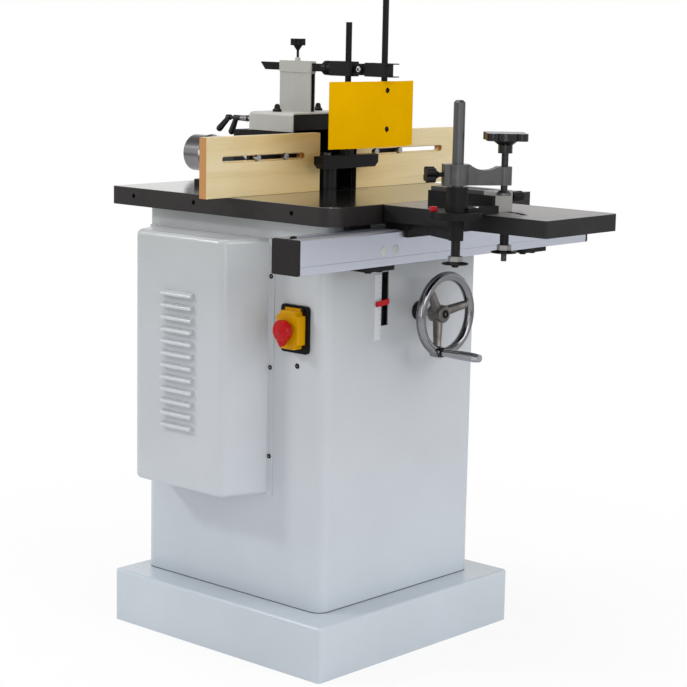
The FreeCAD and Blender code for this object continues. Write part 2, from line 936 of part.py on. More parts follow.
def make_switch_box():
    y0 = switch_y - switch_width / 2
    y1 = switch_y + switch_width / 2
    z0 = switch_z - switch_height / 2
    z1 = switch_z + switch_height / 2
    face_x = cabinet_left - switch_plate
    plate = block(face_x, cabinet_left, y0, y1, z0, z1)
    plate = plate.makeFillet(switch_corner,
                             [e for e in plate.Edges if abs(e.tangentAt(e.FirstParameter).x) > 0.99])
    body = block(cabinet_left, cabinet_left + switch_body_depth,
                 switch_y - switch_body_width / 2 + running_gap,
                 switch_y + switch_body_width / 2 - running_gap,
                 switch_z - switch_body_height / 2 + running_gap,
                 switch_z + switch_body_height / 2 - running_gap)
    ears = []
    for way in (-1, 1):
        edge = switch_y + way * (lid_half_crown + slide_gap)
        e0, e1 = sorted((edge, edge + way * lid_ear))
        ears.append(block(lid_pin_x, face_x, e0, e1, lid_pin_z - lid_pin, lid_pin_z + lid_pin))
        ears.append(bar(2 * lid_pin, Vec(lid_pin_x, e0, lid_pin_z), Vec(lid_pin_x, e1, lid_pin_z)))
    start = start_pocket(running_gap)
    solid = fused([plate, body] + ears)
    return solid.cut(start)


def start_pocket(margin):
    """Block of the start button's size and travel, grown by a margin."""
    face_x = cabinet_left - switch_plate
    half = start_size / 2 + margin
    z = switch_z - start_drop
    return block(face_x - start_rise, face_x + start_travel + start_rise + margin, switch_y - half,
                 switch_y + half, z - half, z + half)


def make_start_button():
    face_x = cabinet_left - switch_plate
    half = start_size / 2
    z = switch_z - start_drop
    key = block(face_x - start_rise, face_x + start_rise, switch_y - half, switch_y + half, z - half,
                z + half)
    rim = edges_where(key, lambda p: p.x < face_x - start_rise + running_gap)
    return key.makeFillet(start_round, rim)


def lid_block(x0, x1, shrink):
    """Lid's form with its four notched corners, drawn in by a shrink."""
    half_y = lid_width / 2 - shrink
    half_z = lid_height / 2 - shrink
    wide = block(x0, x1, switch_y - half_y, switch_y + half_y, switch_z - half_z + lid_notch,
                 switch_z + half_z - lid_notch)
    tall = block(x0, x1, switch_y - half_y + lid_notch, switch_y + half_y - lid_notch, switch_z - half_z,
                 switch_z + half_z)
    return fused([wide, tall])


def make_switch_lid():
    x1 = cabinet_left - switch_plate - slide_gap
    x0 = x1 - lid_depth
    shell = lid_block(x0, x1, 0)
    shell = shell.makeFillet(lid_corner,
                             [e for e in shell.Edges if abs(e.tangentAt(e.FirstParameter).x) > 0.99])
    shell = shell.makeFillet(lid_wall, edges_where(shell, lambda p: p.x < x0 + running_gap))
    inner = lid_block(x0 + lid_wall, x1 + overrun, lid_wall)
    stem = bar(stop_stem + 2 * slide_gap, Vec(x0 - overrun, switch_y, switch_z),
               Vec(x1, switch_y, switch_z))
    half_span = lid_half_crown - slide_gap
    knuckle = block(lid_pin_x - lid_pin, lid_pin_x + lid_pin, switch_y - half_span, switch_y + half_span,
                    switch_z + lid_height / 2 - lid_wall, lid_pin_z + lid_pin)
    return fused([shell.cut([inner, stem]), knuckle])


def make_stop_button():
    face = cabinet_left - switch_plate - slide_gap - lid_depth
    radius = stop_width / 2
    stem = stop_stem / 2
    lift = stop_travel + slide_gap
    place = FreeCAD.Placement(Vec(face, switch_y, switch_z), FreeCAD.Rotation(Vec(0, 0, 1), Vec(-1, 0, 0)))
    profile = [(0, -lid_wall - stop_travel), (stem, -lid_wall - stop_travel), (stem, lift),
               (radius - stop_dome, lift), (radius, lift + stop_dome),
               (radius, lift + stop_cap - stop_dome), (radius - stop_dome, lift + stop_cap),
               (0, lift + stop_cap + stop_dome)]
    cap = turned(profile, place.Base, Vec(-1, 0, 0))
    tip = radius + stop_tail - stop_tail_tip / 2
    tail = hull((0, 0), stop_width - 2 * stop_dome, (-tip, 0), stop_tail_tip, lift + stop_dome,
                lift + stop_cap - stop_dome)
    tail.Placement = place
    return fused([cap, tail])


def make_shaft_bush():
    bore = shaft_size / 2 + running_gap
    flange = bush_flange / 2
    body = bush_body / 2 - running_gap
    profile = [(bore, -bush_length), (body, -bush_length), (body, 0), (flange, 0),
               (flange, bush_flange_thickness - edge_break), (flange - edge_break, bush_flange_thickness),
               (bore, bush_flange_thickness)]
    return turned(profile, Vec(wheel_x, cabinet_front, wheel_z), Vec(0, -1, 0))


def bevel(base, axis):
    """Bevel gear with straight teeth, its small end away from the base point along the axis."""
    half_gap = bevel_gap / 2
    large = bevel_pitch - half_gap
    small = large - bevel_face
    profile = [(0, 0), (large - bevel_groove, -bevel_groove), (large, 0), (small, bevel_face),
               (0, bevel_face)]
    gear = turned(profile, Vec(), Vec(0, 0, 1))
    grooves = []
    for k in range(bevel_teeth):
        tooth = prism([Vec(small - bevel_groove, 0, bevel_face + overrun),
                       Vec(small + bevel_groove, 0, bevel_face + overrun),
                       Vec(large + bevel_groove, 0, -bevel_groove - overrun),
                       Vec(large - bevel_groove / 2, 0, -bevel_groove - overrun)],
                      Vec(0, bevel_groove / 2, 0))
        tooth.rotate(Vec(), Vec(0, 0, 1), 360 * k / bevel_teeth)
        grooves.append(tooth)
    gear = gear.cut(grooves)
    gear.Placement = FreeCAD.Placement(base, FreeCAD.Rotation(Vec(0, 0, 1), axis))
    return gear


def make_handwheel_shaft():
    nose = Vec(wheel_x, screw_y - bevel_pitch, wheel_z)
    front = Vec(wheel_x, hub_front, wheel_z)
    shaft = bar(shaft_size, front, nose)
    return fused([shaft, bevel(nose, Vec(0, 1, 0))])


def wheel_ray(angle):
    """Direction out from the wheel's axis at an angle round it."""
    turn = math.radians(angle)
    return Vec(math.cos(turn), 0, math.sin(turn))


def crank_centre():
    """Middle of the boss that carries the crank pin."""
    return Vec(wheel_x, wheel_y, wheel_z) + wheel_ray(spoke_angle) * (wheel_size / 2 * crank_radius_share)


def make_handwheel():
    centre = Vec(wheel_x, wheel_y, wheel_z)
    hub_base = Vec(wheel_x, hub_front + hub_length, wheel_z)
    hub_middle = Vec(wheel_x, hub_front + hub_length / 2, wheel_z)
    rim_radius = (wheel_size - wheel_rim) / 2
    rim = Part.makeTorus(rim_radius, wheel_rim / 2, centre, Vec(0, 1, 0))
    bore = shaft_size / 2
    radius = hub_size / 2
    hub = turned([(bore, 0), (radius, 0), (radius, hub_length - edge_break),
                  (radius - edge_break, hub_length), (bore, hub_length)], hub_base, Vec(0, -1, 0))
    pieces = [rim, hub]
    for k in range(spoke_count):
        outward = wheel_ray(spoke_angle + 360 * k / spoke_count)
        root = hub_middle + outward * ((bore + radius) / 2)
        run = centre + outward * rim_radius - root
        pieces.append(Part.makeCone(spoke_root / 2, spoke_tip / 2, run.Length, root, run))
    crank = crank_centre()
    half_boss = Vec(0, crank_boss_length / 2, 0)
    pieces.append(bar(crank_boss, crank + half_boss, crank - half_boss))
    pieces.append(bar(crank_pin, crank - half_boss, crank - half_boss - Vec(0, crank_pin_length, 0)))
    return fused(pieces)


def make_crank_handle():
    base = crank_centre() - Vec(0, crank_boss_length / 2 + slide_gap, 0)
    bore = crank_pin / 2 + running_gap
    radius = handle_size / 2
    waist = handle_waist / 2
    end = crank_pin_length + handle_head
    neck, swell, shoulder = [end * share for share in handle_length_shares]
    profile = [(bore, 0), (waist, 0), (waist, neck), (radius, swell), (radius, shoulder), (waist, end),
               (0, end), (0, end - handle_head / 2), (bore, end - handle_head / 2)]
    return turned(profile, base, Vec(0, -1, 0))


def make_lift_screw():
    axis = Vec(wheel_x, screw_y, 0)
    top = sleeve_bottom + screw_lug_height
    gear_base = wheel_z + bevel_pitch
    gear = bevel(axis + Vec(0, 0, gear_base), Vec(0, 0, -1))
    stem = bar(screw_size, axis + Vec(0, 0, screw_bottom), axis + Vec(0, 0, sleeve_bottom - slide_gap))
    journal = bar(screw_journal, axis + Vec(0, 0, sleeve_bottom - slide_gap), axis + Vec(0, 0, top))
    return fused([stem, journal, gear])


def make_quill_bracket():
    axis = Vec(spindle_x, spindle_y, 0)
    top = table_under - table_boss_drop
    bore = quill_size / 2 + running_gap
    outer = quill_size / 2 + sleeve_wall
    flange = table_boss / 2
    profile = [(bore, sleeve_bottom), (outer, sleeve_bottom), (outer, top - bracket_flange),
               (flange, top - bracket_flange), (flange, top), (bore, top)]
    pieces = [turned(profile, axis, Vec(0, 0, 1))]
    for k in range(gusset_count):
        angle = gusset_angle + 360 * k / gusset_count
        gusset = prism([Vec(outer - sleeve_wall / 2, -gusset_thickness / 2, sleeve_bottom + sleeve_wall),
                        Vec(flange - sleeve_wall / 2, -gusset_thickness / 2, top - bracket_flange / 2),
                        Vec(outer - sleeve_wall / 2, -gusset_thickness / 2, top - bracket_flange / 2)],
                       Vec(0, gusset_thickness, 0))
        gusset.rotate(Vec(), Vec(0, 0, 1), angle)
        gusset.translate(axis)
        pieces.append(gusset)
    lug_top = sleeve_bottom + screw_lug_height
    lug = block(wheel_x - screw_lug_side, wheel_x + screw_lug_side, screw_y,
                spindle_y - quill_size / 2 - sleeve_wall / 2, sleeve_bottom, lug_top)
    nose = bar(2 * screw_lug_side, Vec(wheel_x, screw_y, sleeve_bottom), Vec(wheel_x, screw_y, lug_top))
    hole = bar(screw_journal + 2 * running_gap, Vec(wheel_x, screw_y, sleeve_bottom - overrun),
               Vec(wheel_x, screw_y, lug_top + overrun))
    return fused(pieces + [lug, nose]).cut(hole)


def make_quill():
    radius = quill_size / 2
    seat = bearing_outer / 2
    bore = quill_bore / 2
    low = quill_bottom + bearing_width
    high = quill_top - bearing_width
    profile = [(seat, quill_bottom), (radius, quill_bottom), (radius, quill_top), (seat, quill_top),
               (seat, high), (bore, high), (bore, low), (seat, low)]
    return turned(profile, Vec(spindle_x, spindle_y, 0), Vec(0, 0, 1))


def make_spindle_bearings():
    outer = bearing_outer / 2
    inner = arbor_size / 2 + running_gap
    middle = (outer + inner) / 2
    rings = []
    for bottom in (quill_bottom, quill_top - bearing_width):
        top = bottom + bearing_width
        profile = [(inner, bottom), (middle - bearing_groove, bottom),
                   (middle - bearing_groove, bottom + bearing_groove),
                   (middle + bearing_groove, bottom + bearing_groove), (middle + bearing_groove, bottom),
                   (outer, bottom), (outer, top), (middle + bearing_groove, top),
                   (middle + bearing_groove, top - bearing_groove),
                   (middle - bearing_groove, top - bearing_groove), (middle - bearing_groove, top),
                   (inner, top)]
        rings.append(turned(profile, Vec(spindle_x, spindle_y, 0), Vec(0, 0, 1)))
    return Part.makeCompound(rings)


def make_motor_plate():
    quill_ring = quill_size + 2 * plate_quill_margin
    motor_ring = motor_size + 2 * plate_motor_margin
    plate = hull((motor_x, motor_y), motor_ring, (spindle_x, spindle_y), quill_ring, plate_bottom,
                 plate_top)
    lug = block(wheel_x - nut_boss / 2, wheel_x + nut_boss / 2, screw_y, spindle_y - quill_size / 2,
                plate_bottom, plate_top)
    nut_base = Vec(wheel_x, screw_y, plate_bottom)
    nut = bar(nut_boss, nut_base, nut_base + Vec(0, 0, nut_length))
    collar = bar(quill_ring, Vec(spindle_x, spindle_y, plate_bottom),
                 Vec(spindle_x, spindle_y, plate_bottom + nut_length))
    cutters = [bar(quill_size, Vec(spindle_x, spindle_y, plate_bottom - overrun),
                   Vec(spindle_x, spindle_y, plate_top + nut_length)),
               bar(motor_shaft + 2 * motor_shaft_gap, Vec(motor_x, motor_y, plate_bottom - overrun),
                   Vec(motor_x, motor_y, plate_top + overrun)),
               bar(screw_size + 2 * slide_gap, nut_base - Vec(0, 0, overrun),
                   nut_base + Vec(0, 0, nut_length + overrun))]
    return fused([plate, lug, nut, collar]).cut(cutters)


def make_motor():
    axis = Vec(motor_x, motor_y, 0)
    radius = motor_size / 2
    core = radius - motor_fin_depth
    bore = motor_shaft / 2 + running_gap
    top = plate_top + motor_length
    shaft_end = plate_top + motor_length / 2
    profile = [(bore, plate_top), (radius, plate_top), (radius, plate_top + motor_bell),
               (core, plate_top + motor_bell), (core, top - 2 * motor_bell),
               (radius, top - 2 * motor_bell), (radius, top - motor_bell / 2),
               (radius - motor_bell / 2, top), (0, top), (0, shaft_end), (bore, shaft_end)]
    pieces = [turned(profile, axis, Vec(0, 0, 1))]
    for k in range(motor_fin_count):
        fin = block(core - motor_fin_depth, radius, -motor_fin_width / 2, motor_fin_width / 2,
                    plate_top + motor_bell, top - 2 * motor_bell)
        fin.rotate(Vec(), Vec(0, 0, 1), 360 * k / motor_fin_count)
        fin.translate(axis)
        pieces.append(fin)
    middle = plate_top + motor_length / 2
    pieces.append(block(motor_x - terminal_size / 2, motor_x + terminal_size / 2, motor_y + core / 2,
                        motor_y + radius + terminal_depth, middle - terminal_height / 2,
                        middle + terminal_height / 2))
    return fused(pieces)


def pulley_profile(size, bore):
    """Half section of a flanged belt pulley."""
    radius = size / 2
    rim = radius + pulley_flange_rise
    low = pulley_bottom + pulley_flange
    high = pulley_top - pulley_flange
    return [(bore, pulley_bottom), (rim, pulley_bottom), (rim, low), (radius, low), (radius, high),
            (rim, high), (rim, pulley_top), (bore, pulley_top)]


def make_motor_pulley():
    wheel = turned(pulley_profile(motor_pulley_size, 0), Vec(motor_x, motor_y, 0), Vec(0, 0, 1))
    shaft = bar(motor_shaft, Vec(motor_x, motor_y, pulley_top),
                Vec(motor_x, motor_y, plate_top + motor_length / 2 - slide_gap))
    return fused([wheel, shaft])


def make_spindle_pulley():
    return turned(pulley_profile(spindle_pulley_size, tail_size / 2), Vec(spindle_x, spindle_y, 0),
                  Vec(0, 0, 1))


def make_belt():
    low = pulley_bottom + pulley_flange + loose_gap
    high = pulley_top - pulley_flange - loose_gap
    grow = 2 * slide_gap
    thick = 2 * belt_thickness
    motor_centre = (motor_x, motor_y)
    spindle_centre = (spindle_x, spindle_y)
    outer = hull(motor_centre, motor_pulley_size + grow + thick, spindle_centre,
                 spindle_pulley_size + grow + thick, low, high)
    inner = hull(motor_centre, motor_pulley_size + grow, spindle_centre, spindle_pulley_size + grow,
                 low - overrun, high + overrun)
    return outer.cut(inner)


def make_spindle():
    tail = tail_size / 2
    arbor = arbor_size / 2
    core = spindle_core / 2
    shoulder = shoulder_size / 2
    thread = thread_size / 2
    seat_low = quill_bottom + bearing_width
    seat_high = quill_top - bearing_width
    arbor_top = shoulder_top + arbor_length
    profile = [(0, pulley_bottom), (tail, pulley_bottom), (tail, pulley_top), (arbor, pulley_top),
               (arbor, seat_low), (core, seat_low), (core, seat_high), (arbor, seat_high),
               (arbor, quill_top + slide_gap), (shoulder, quill_top + slide_gap),
               (shoulder, shoulder_top), (arbor, shoulder_top), (arbor, arbor_top - thread_length),
               (thread, arbor_top - thread_length), (thread, arbor_top), (0, arbor_top)]
    return turned(profile, Vec(spindle_x, spindle_y, 0), Vec(0, 0, 1))


def make_spacer_rings():
    inner = arbor_size / 2 + running_gap
    outer = shoulder_size / 2
    bottom = shoulder_top
    rings = []
    for height in spacer_heights:
        profile = [(inner, bottom), (outer, bottom), (outer, bottom + height), (inner, bottom + height)]
        rings.append(turned(profile, Vec(spindle_x, spindle_y, 0), Vec(0, 0, 1)))
        bottom = bottom + height
    return Part.makeCompound(rings)


def make_spindle_nut():
    bottom = shoulder_top + sum(spacer_heights)
    bore = thread_size / 2 + running_gap
    nut = hexagon(spindle_nut_size, spindle_nut_height, Vec())
    nut = nut.cut(bar(2 * bore, Vec(0, 0, -overrun), Vec(0, 0, spindle_nut_height + overrun)))
    relief = bar(arbor_size + 2 * running_gap, Vec(0, 0, -overrun),
                 Vec(0, 0, arbor_length - thread_length - sum(spacer_heights) + running_gap))
    nut = nut.cut(relief)
    nut.translate(Vec(spindle_x, spindle_y, bottom))
    return nut


def make_scale_pointer():
    x0 = scale_slot_left + (scale_slot_width - pointer_width) / 2
    foot_back = motor_plate_front(x0) + pointer_foot
    inside = cabinet_front + cabinet_sheet + pointer_nose
    outside = cabinet_front - pointer_strip
    z0 = plate_top
    z1 = pointer_z
    t = pointer_strip
    outline = [(foot_back, z0), (inside, z0), (inside, z1 - t), (outside, z1 - t), (outside, z1),
               (inside + t, z1), (inside + t, z0 + t), (foot_back, z0 + t)]
    strip = prism([Vec(x0, y, z) for y, z in outline], Vec(pointer_width, 0, 0))
    half = pointer_height / 2
    middle = z1 - t / 2
    left = x0 - pointer_reach
    right = x0 + pointer_width
    flag = prism([Vec(right, outside, middle - half), Vec(right, outside, middle + half),
                  Vec(left, outside, middle + half - pointer_slant),
                  Vec(left, outside, middle - half - pointer_slant)], Vec(0, -pointer_strip, 0))
    return fused([strip, flag])


def motor_plate_front(x):
    """Front edge of the motor plate at a place along X, on its straight stretch."""
    motor_edge = motor_y - motor_size / 2 - plate_motor_margin
    quill_edge = spindle_y - quill_size / 2 - plate_quill_margin
    share = (x - motor_x) / (spindle_x - motor_x)
    return motor_edge + (quill_edge - motor_edge) * share


def make_fence_hood():
    top = hood_base + base_thickness
    base = rounded_block(base_left, base_right, board_back + slide_gap, base_back, hood_base, top,
                         base_corner)
    lower = block(hood_left, hood_right, hood_front, hood_back, hood_base, hood_step_top)
    chamber = lid_form(hood_left, hood_right, hood_front, chamber_back, hood_base, chamber_top,
                       loose_gap + lid_sheet)
    inner_left = hood_left + hood_wall
    inner_right = hood_right - hood_wall
    inner_lower = block(inner_left, inner_right, hood_front - overrun, hood_back - hood_wall,
                        hood_base - overrun, hood_step_top - hood_wall)
    inner_chamber = block(inner_left, inner_right, hood_front + hood_wall, chamber_back - hood_wall,
                          hood_base - overrun, chamber_top - hood_wall)
    pieces = [base, lower, chamber]
    wing_top = hood_base + board_height - hood_wall
    y0 = board_back + slide_gap
    y1 = y0 + wing_thickness
    for bolts, inner_edge in ((left_bolts, hood_left + hood_wall), (right_bolts, hood_right - hood_wall)):
        x0 = min(min(bolts) - wing_margin, inner_edge)
        x1 = max(max(bolts) + wing_margin, inner_edge)
        pieces.append(block(x0, x1, y0, y1, hood_base, wing_top))
    for middle in ((max(left_bolts) + hood_left) / 2, (min(right_bolts) + hood_right) / 2):
        x = middle - rib_thickness / 2
        pieces.append(prism([Vec(x, y0, hood_base), Vec(x, y0 + rib_length, hood_base),
                             Vec(x, y0 + rib_length, top), Vec(x, y1, wing_top), Vec(x, y0, wing_top)],
                            Vec(rib_thickness, 0, 0)))
    for x0, x1 in ((hood_left, hood_left + hood_wall), (hood_right - hood_wall, hood_right)):
        pieces.append(block(x0, x1, y0, hood_front + hood_wall, hood_base, wing_top))
    solid = fused(pieces)
    cutters = [inner_lower, inner_chamber]
    cutters.append(block(inner_left, inner_right, hood_front - overrun, hood_front + hood_wall + overrun,
                         hood_base - overrun, chamber_top - brow_height))
    cutters.append(block(spindle_x - cutter_opening / 2, spindle_x + cutter_opening / 2, y0 - overrun,
                         hood_back - hood_wall, hood_base - overrun, top + overrun))
    z = board_bottom + board_slot_rise
    for x in left_bolts + right_bolts:
        cutters.append(bar(bolt_size + 2 * slide_gap, Vec(x, y0 - overrun, z), Vec(x, y1 + overrun, z)))
    slot_half = lock_slot / 2
    slot_radius = lock_stud / 2 + loose_gap
    for x in (lock_x_left, lock_x_right):
        cutters.append(hull((x, lock_y - slot_half), 2 * slot_radius, (x, lock_y + slot_half),
                            2 * slot_radius, hood_base - overrun, top + overrun))
    cutters.append(bar(port_size + 2 * slide_gap, Vec(spindle_x, hood_back - hood_wall - overrun, port_z),
                       Vec(spindle_x, hood_back + overrun, port_z)))
    cutters.append(bar(port_flange + 2 * loose_gap, Vec(spindle_x, hood_back, port_z),
                       Vec(spindle_x, base_back + overrun, port_z)))
    cutters.append(bar(adjuster_rod + 2 * running_gap,
                       Vec(adjuster_x, chamber_back - hood_wall - overrun, adjuster_z),
                       Vec(adjuster_x, chamber_back + overrun, adjuster_z)))
    return solid.cut(cutters)


def lid_form(x0, x1, y0, y1, z0, z1, inset):
    """Box with the lid's rounded back and sides, drawn in from the lid's outside by an inset."""
    solid = block(x0, x1, y0, y1, z0, z1)
    back = edges_where(solid, lambda p: p.y > y1 - running_gap and p.z > z0 + running_gap)
    solid = solid.makeFillet(lid_back_bend - inset, back)

    def on_side(p):
        along = p.z > z1 - running_gap and y0 + overrun < p.y < y1 - lid_back_bend
        return along and abs(p.x - (x0 + x1) / 2) > lid_back_bend

    return solid.makeFillet(lid_side_bend - inset, edges_where(solid, on_side))


def make_hood_lid():
    gap = loose_gap
    x0 = hood_left - gap - lid_sheet
    x1 = hood_right + gap + lid_sheet
    y1 = chamber_back + gap + lid_sheet
    z0 = lid_top - lid_skirt
    shell = lid_form(x0, x1, hood_front, y1, z0, lid_top, 0)
    inner = lid_form(x0 + lid_sheet, x1 - lid_sheet, hood_front - overrun, y1 - lid_sheet, z0 - overrun,
                     lid_top - lid_sheet, lid_sheet)
    hole = bar(adjuster_rod + 2 * slide_gap, Vec(adjuster_x, y1 - 2 * lid_sheet, adjuster_z),
               Vec(adjuster_x, y1 + overrun, adjuster_z))
    return shell.cut([inner, hole])


def make_lid_knobs():
    radius = hand_nut_size / 2
    profile = [(radius * across, hand_nut_height * up) for across, up in hand_nut_shares]
    profile = [(0, 0)] + profile + [(0, hand_nut_height)]
    nuts = []
    for way in (-1, 1):
        place = Vec(spindle_x + way * hand_nut_spread / 2, hood_front + hand_nut_setback, lid_top)
        nuts.append(turned(profile, place, Vec(0, 0, 1)))
    return Part.makeCompound(nuts)


def make_dust_port():
    outer = port_size / 2
    inner = outer - port_wall
    flange = port_flange / 2
    bead = outer + port_bead
    bead_end = port_length - port_bead_setback
    bead_start = bead_end - port_bead_width
    profile = [(inner, -hood_wall), (outer, -hood_wall), (outer, 0), (flange, 0),
               (flange, port_flange_thickness), (outer, port_flange_thickness), (outer, bead_start),
               (bead, bead_start + port_bead), (bead, bead_end - port_bead), (outer, bead_end),
               (outer, port_length), (inner, port_length)]
    return turned(profile, Vec(spindle_x, hood_back, port_z), Vec(0, 1, 0))


def make_board(x0, slot_x):
    """Fence board with a stepped slot for its bolts."""
    x1 = x0 + board_length
    y0 = fence_front
    y1 = board_back
    z0 = board_bottom
    board = block(x0, x1, y0, y1, z0, z0 + board_height)
    z = z0 + board_slot_rise
    cutters = []
    for size, depth0, depth1 in ((board_slot_height, y0 - overrun, y0 + board_slot_step),
                                 (board_slot_narrow, y0, y1 + overrun)):
        radius = size / 2
        inset = board_slot_height / 2
        start = slot_x + inset
        end = slot_x + board_slot_length - inset
        cutters.append(block(start, end, depth0, depth1, z - radius, z + radius))
        for x in (start, end):
            cutters.append(bar(size, Vec(x, depth0, z), Vec(x, depth1, z)))
    near = x1 if x0 < spindle_x else x0
    away = -1 if x0 < spindle_x else 1
    cutters.append(prism([Vec(near - away * overrun, y1 + overrun, z0 - overrun),
                          Vec(near + away * board_bevel, y1 + overrun, z0 - overrun),
                          Vec(near - away * overrun, y1 - board_bevel, z0 - overrun)],
                         Vec(0, 0, board_height + 2 * overrun)))
    return board.cut(cutters)


def board_places():
    """Left ends of the boards and of their slots."""
    left = spindle_x - board_gap / 2 - board_length
    right = spindle_x + board_gap / 2
    return (left, left + left_slot_offset), (right, right + right_slot_offset)


def make_board_bolts():
    z = board_bottom + board_slot_rise
    step = fence_front + board_slot_step
    wing_back = board_back + slide_gap + wing_thickness
    tail_end = wing_back + bolt_nut_height + bolt_tail
    solids = []
    for x in left_bolts + right_bolts:
        shank = bar(bolt_size, Vec(x, step - slide_gap, z), Vec(x, tail_end, z))
        head = bar(bolt_head, Vec(x, step - slide_gap - bolt_head_height, z), Vec(x, step - slide_gap, z))
        nut = bar(bolt_nut, Vec(x, wing_back, z), Vec(x, wing_back + bolt_nut_height, z))
        solids.append(fused([shank, head, nut]))
    return Part.makeCompound(solids)


def make_lock_knob(x):
    top = hood_base + base_thickness
    lobe = lock_knob_size / 3
    knob = star(lock_knob_size, lobe, lock_knob_lobes, lock_knob_height, Vec(x, lock_y, top + slide_gap),
                Vec(0, 0, 1))
    stud = bar(lock_stud, Vec(x, lock_y, table_under), Vec(x, lock_y, top + slide_gap + lock_knob_height))
    return fused([knob, stud])


def make_adjuster_knob():
    start = chamber_back - hood_wall
    axis = Vec(adjuster_x, 0, adjuster_z)
    back = Vec(0, 1, 0)
    hub_start = start + adjuster_length
    hub_end = hub_start + adjuster_hub_length
    end_start = hub_end + adjuster_end_gap
    end = end_start + adjuster_end_length
    boss_start = hub_start - adjuster_boss_length
    pieces = [bar(adjuster_rod, axis + back * start, axis + back * end),
              Part.makeCone(adjuster_boss / 2, adjuster_hub / 2, adjuster_boss_length,
                            axis + back * boss_start, back),
              bar(adjuster_hub, axis + back * hub_start, axis + back * hub_end),
              bar(adjuster_hub, axis + back * end_start, axis + back * end)]
    for hub_place, angle in zip((hub_end, end), claw_angles):
        root = axis + back * (hub_place - claw_root / 2)
        tip = root + wheel_ray(angle) * claw_radius + back * claw_setback
        run = tip - root
        pieces.append(Part.makeCone(claw_root / 2, claw_tip / 2, run.Length, root, run))
        pieces.append(Part.makeSphere(claw_tip / 2, tip))
    return fused(pieces)


def make_guard_post():
    half = post_thickness / 2
    y0 = post_y - post_depth / 2
    y1 = post_y + post_depth / 2
    z0 = lid_top
    z1 = z0 + post_height
    stem = rounded_block(post_x - half, post_x + half, y0, y1, z0, z1, post_cap_lip)
    lip = post_cap_lip
    cap = rounded_block(post_x - half - lip, post_x + half + lip, y0 - lip, y1 + lip, z1 - post_cap, z1,
                        2 * lip)
    dome = Part.makeCone(post_dome / 2, post_dome_top / 2, post_dome_height, Vec(post_x, post_y, z1))
    slot_half = bar_width / 2 + slide_gap
    slot = block(post_x - slot_half, post_x + slot_half, y0 - overrun - lip, y1 + overrun + lip,
                 bar_z - slide_gap, bar_z + bar_height + slide_gap)
    hole = bar(bar_knob_stem + 2 * running_gap, Vec(post_x, post_y, bar_z),
               Vec(post_x, post_y, z1 + post_dome_height + overrun))
    inner_half = half - post_wall
    channel = block(post_x - inner_half, post_x + inner_half, y0 - overrun, y1 - post_wall,
                    z0 + post_wall, z1 - post_cap - post_wall)
    return fused([stem, cap, dome]).cut([slot, hole, channel])


def make_guard_bar():
    x0 = post_x - bar_width / 2
    back = bar_front + bar_length
    outline = [Vec(x0, bar_front, bar_z), Vec(x0, back - bar_slant, bar_z),
               Vec(x0, back, bar_z + bar_height), Vec(x0, bar_front, bar_z + bar_height)]
    return prism(outline, Vec(bar_width, 0, 0))


def make_bar_lock_knob():
    bottom = bar_z + bar_height + slide_gap
    knob_z = lid_top + post_height + post_dome_height + bar_knob_lift
    stem = bar(bar_knob_stem, Vec(post_x, post_y, bottom), Vec(post_x, post_y, knob_z))
    lobe = bar_knob_size / 3
    neck = Part.makeCone(bar_knob_stem / 2, bar_knob_size / 4, bar_knob_hub,
                         Vec(post_x, post_y, knob_z - bar_knob_hub))
    head = star(bar_knob_size, lobe, bar_knob_lobes, bar_knob_height, Vec(post_x, post_y, knob_z),
                Vec(0, 0, 1))
    return fused([stem, neck, head])


def make_rear_clamp():
    half = clamp_width / 2
    z0 = bar_middle - clamp_height / 2
    z1 = bar_middle + clamp_height / 2
    body = rounded_block(post_x - half, post_x + half, clamp_front, clamp_back, z0, z1, clamp_corner)
    collar_start = clamp_back + clamp_neck_length
    collar_end = collar_start + clamp_collar_length
    neck = bar(clamp_neck, Vec(post_x, clamp_back - half, bar_middle), Vec(post_x, collar_end, bar_middle))
    outer = clamp_collar / 2
    low = outer - clamp_collar_round
    collar = turned([(0, 0), (low, 0), (outer, clamp_collar_round),
                     (outer, clamp_collar_length - clamp_collar_round), (low, clamp_collar_length),
                     (0, clamp_collar_length)], Vec(post_x, collar_start, bar_middle), Vec(0, 1, 0))
    lug_half = lug_thickness / 2
    waist = block(post_x - lug_half, post_x + lug_half, lug_eye, clamp_front + half,
                  bar_middle - lug_waist / 2, bar_middle + lug_waist / 2)
    eye = bar(fork_height, Vec(post_x - lug_half, lug_eye, bar_middle),
              Vec(post_x + lug_half, lug_eye, bar_middle))
    socket = block(post_x - bar_width / 2, post_x + bar_width / 2, bar_front, collar_end + overrun,
                   bar_z, bar_z + bar_height)
    bore = bar(rod_size + 2 * running_gap, Vec(post_x, shoe_rod_y, z0 - overrun),
               Vec(post_x, shoe_rod_y, z1 + overrun))
    slit = block(post_x, post_x + half + overrun, shoe_rod_y - clamp_slit / 2,
                 shoe_rod_y + clamp_slit / 2, z0 - overrun, z1 + overrun)
    hole = bar(link_bolt, Vec(post_x - half, lug_eye, bar_middle), Vec(post_x + half, lug_eye, bar_middle))
    return fused([body, neck, collar, waist, eye]).cut([socket, bore, slit, hole])


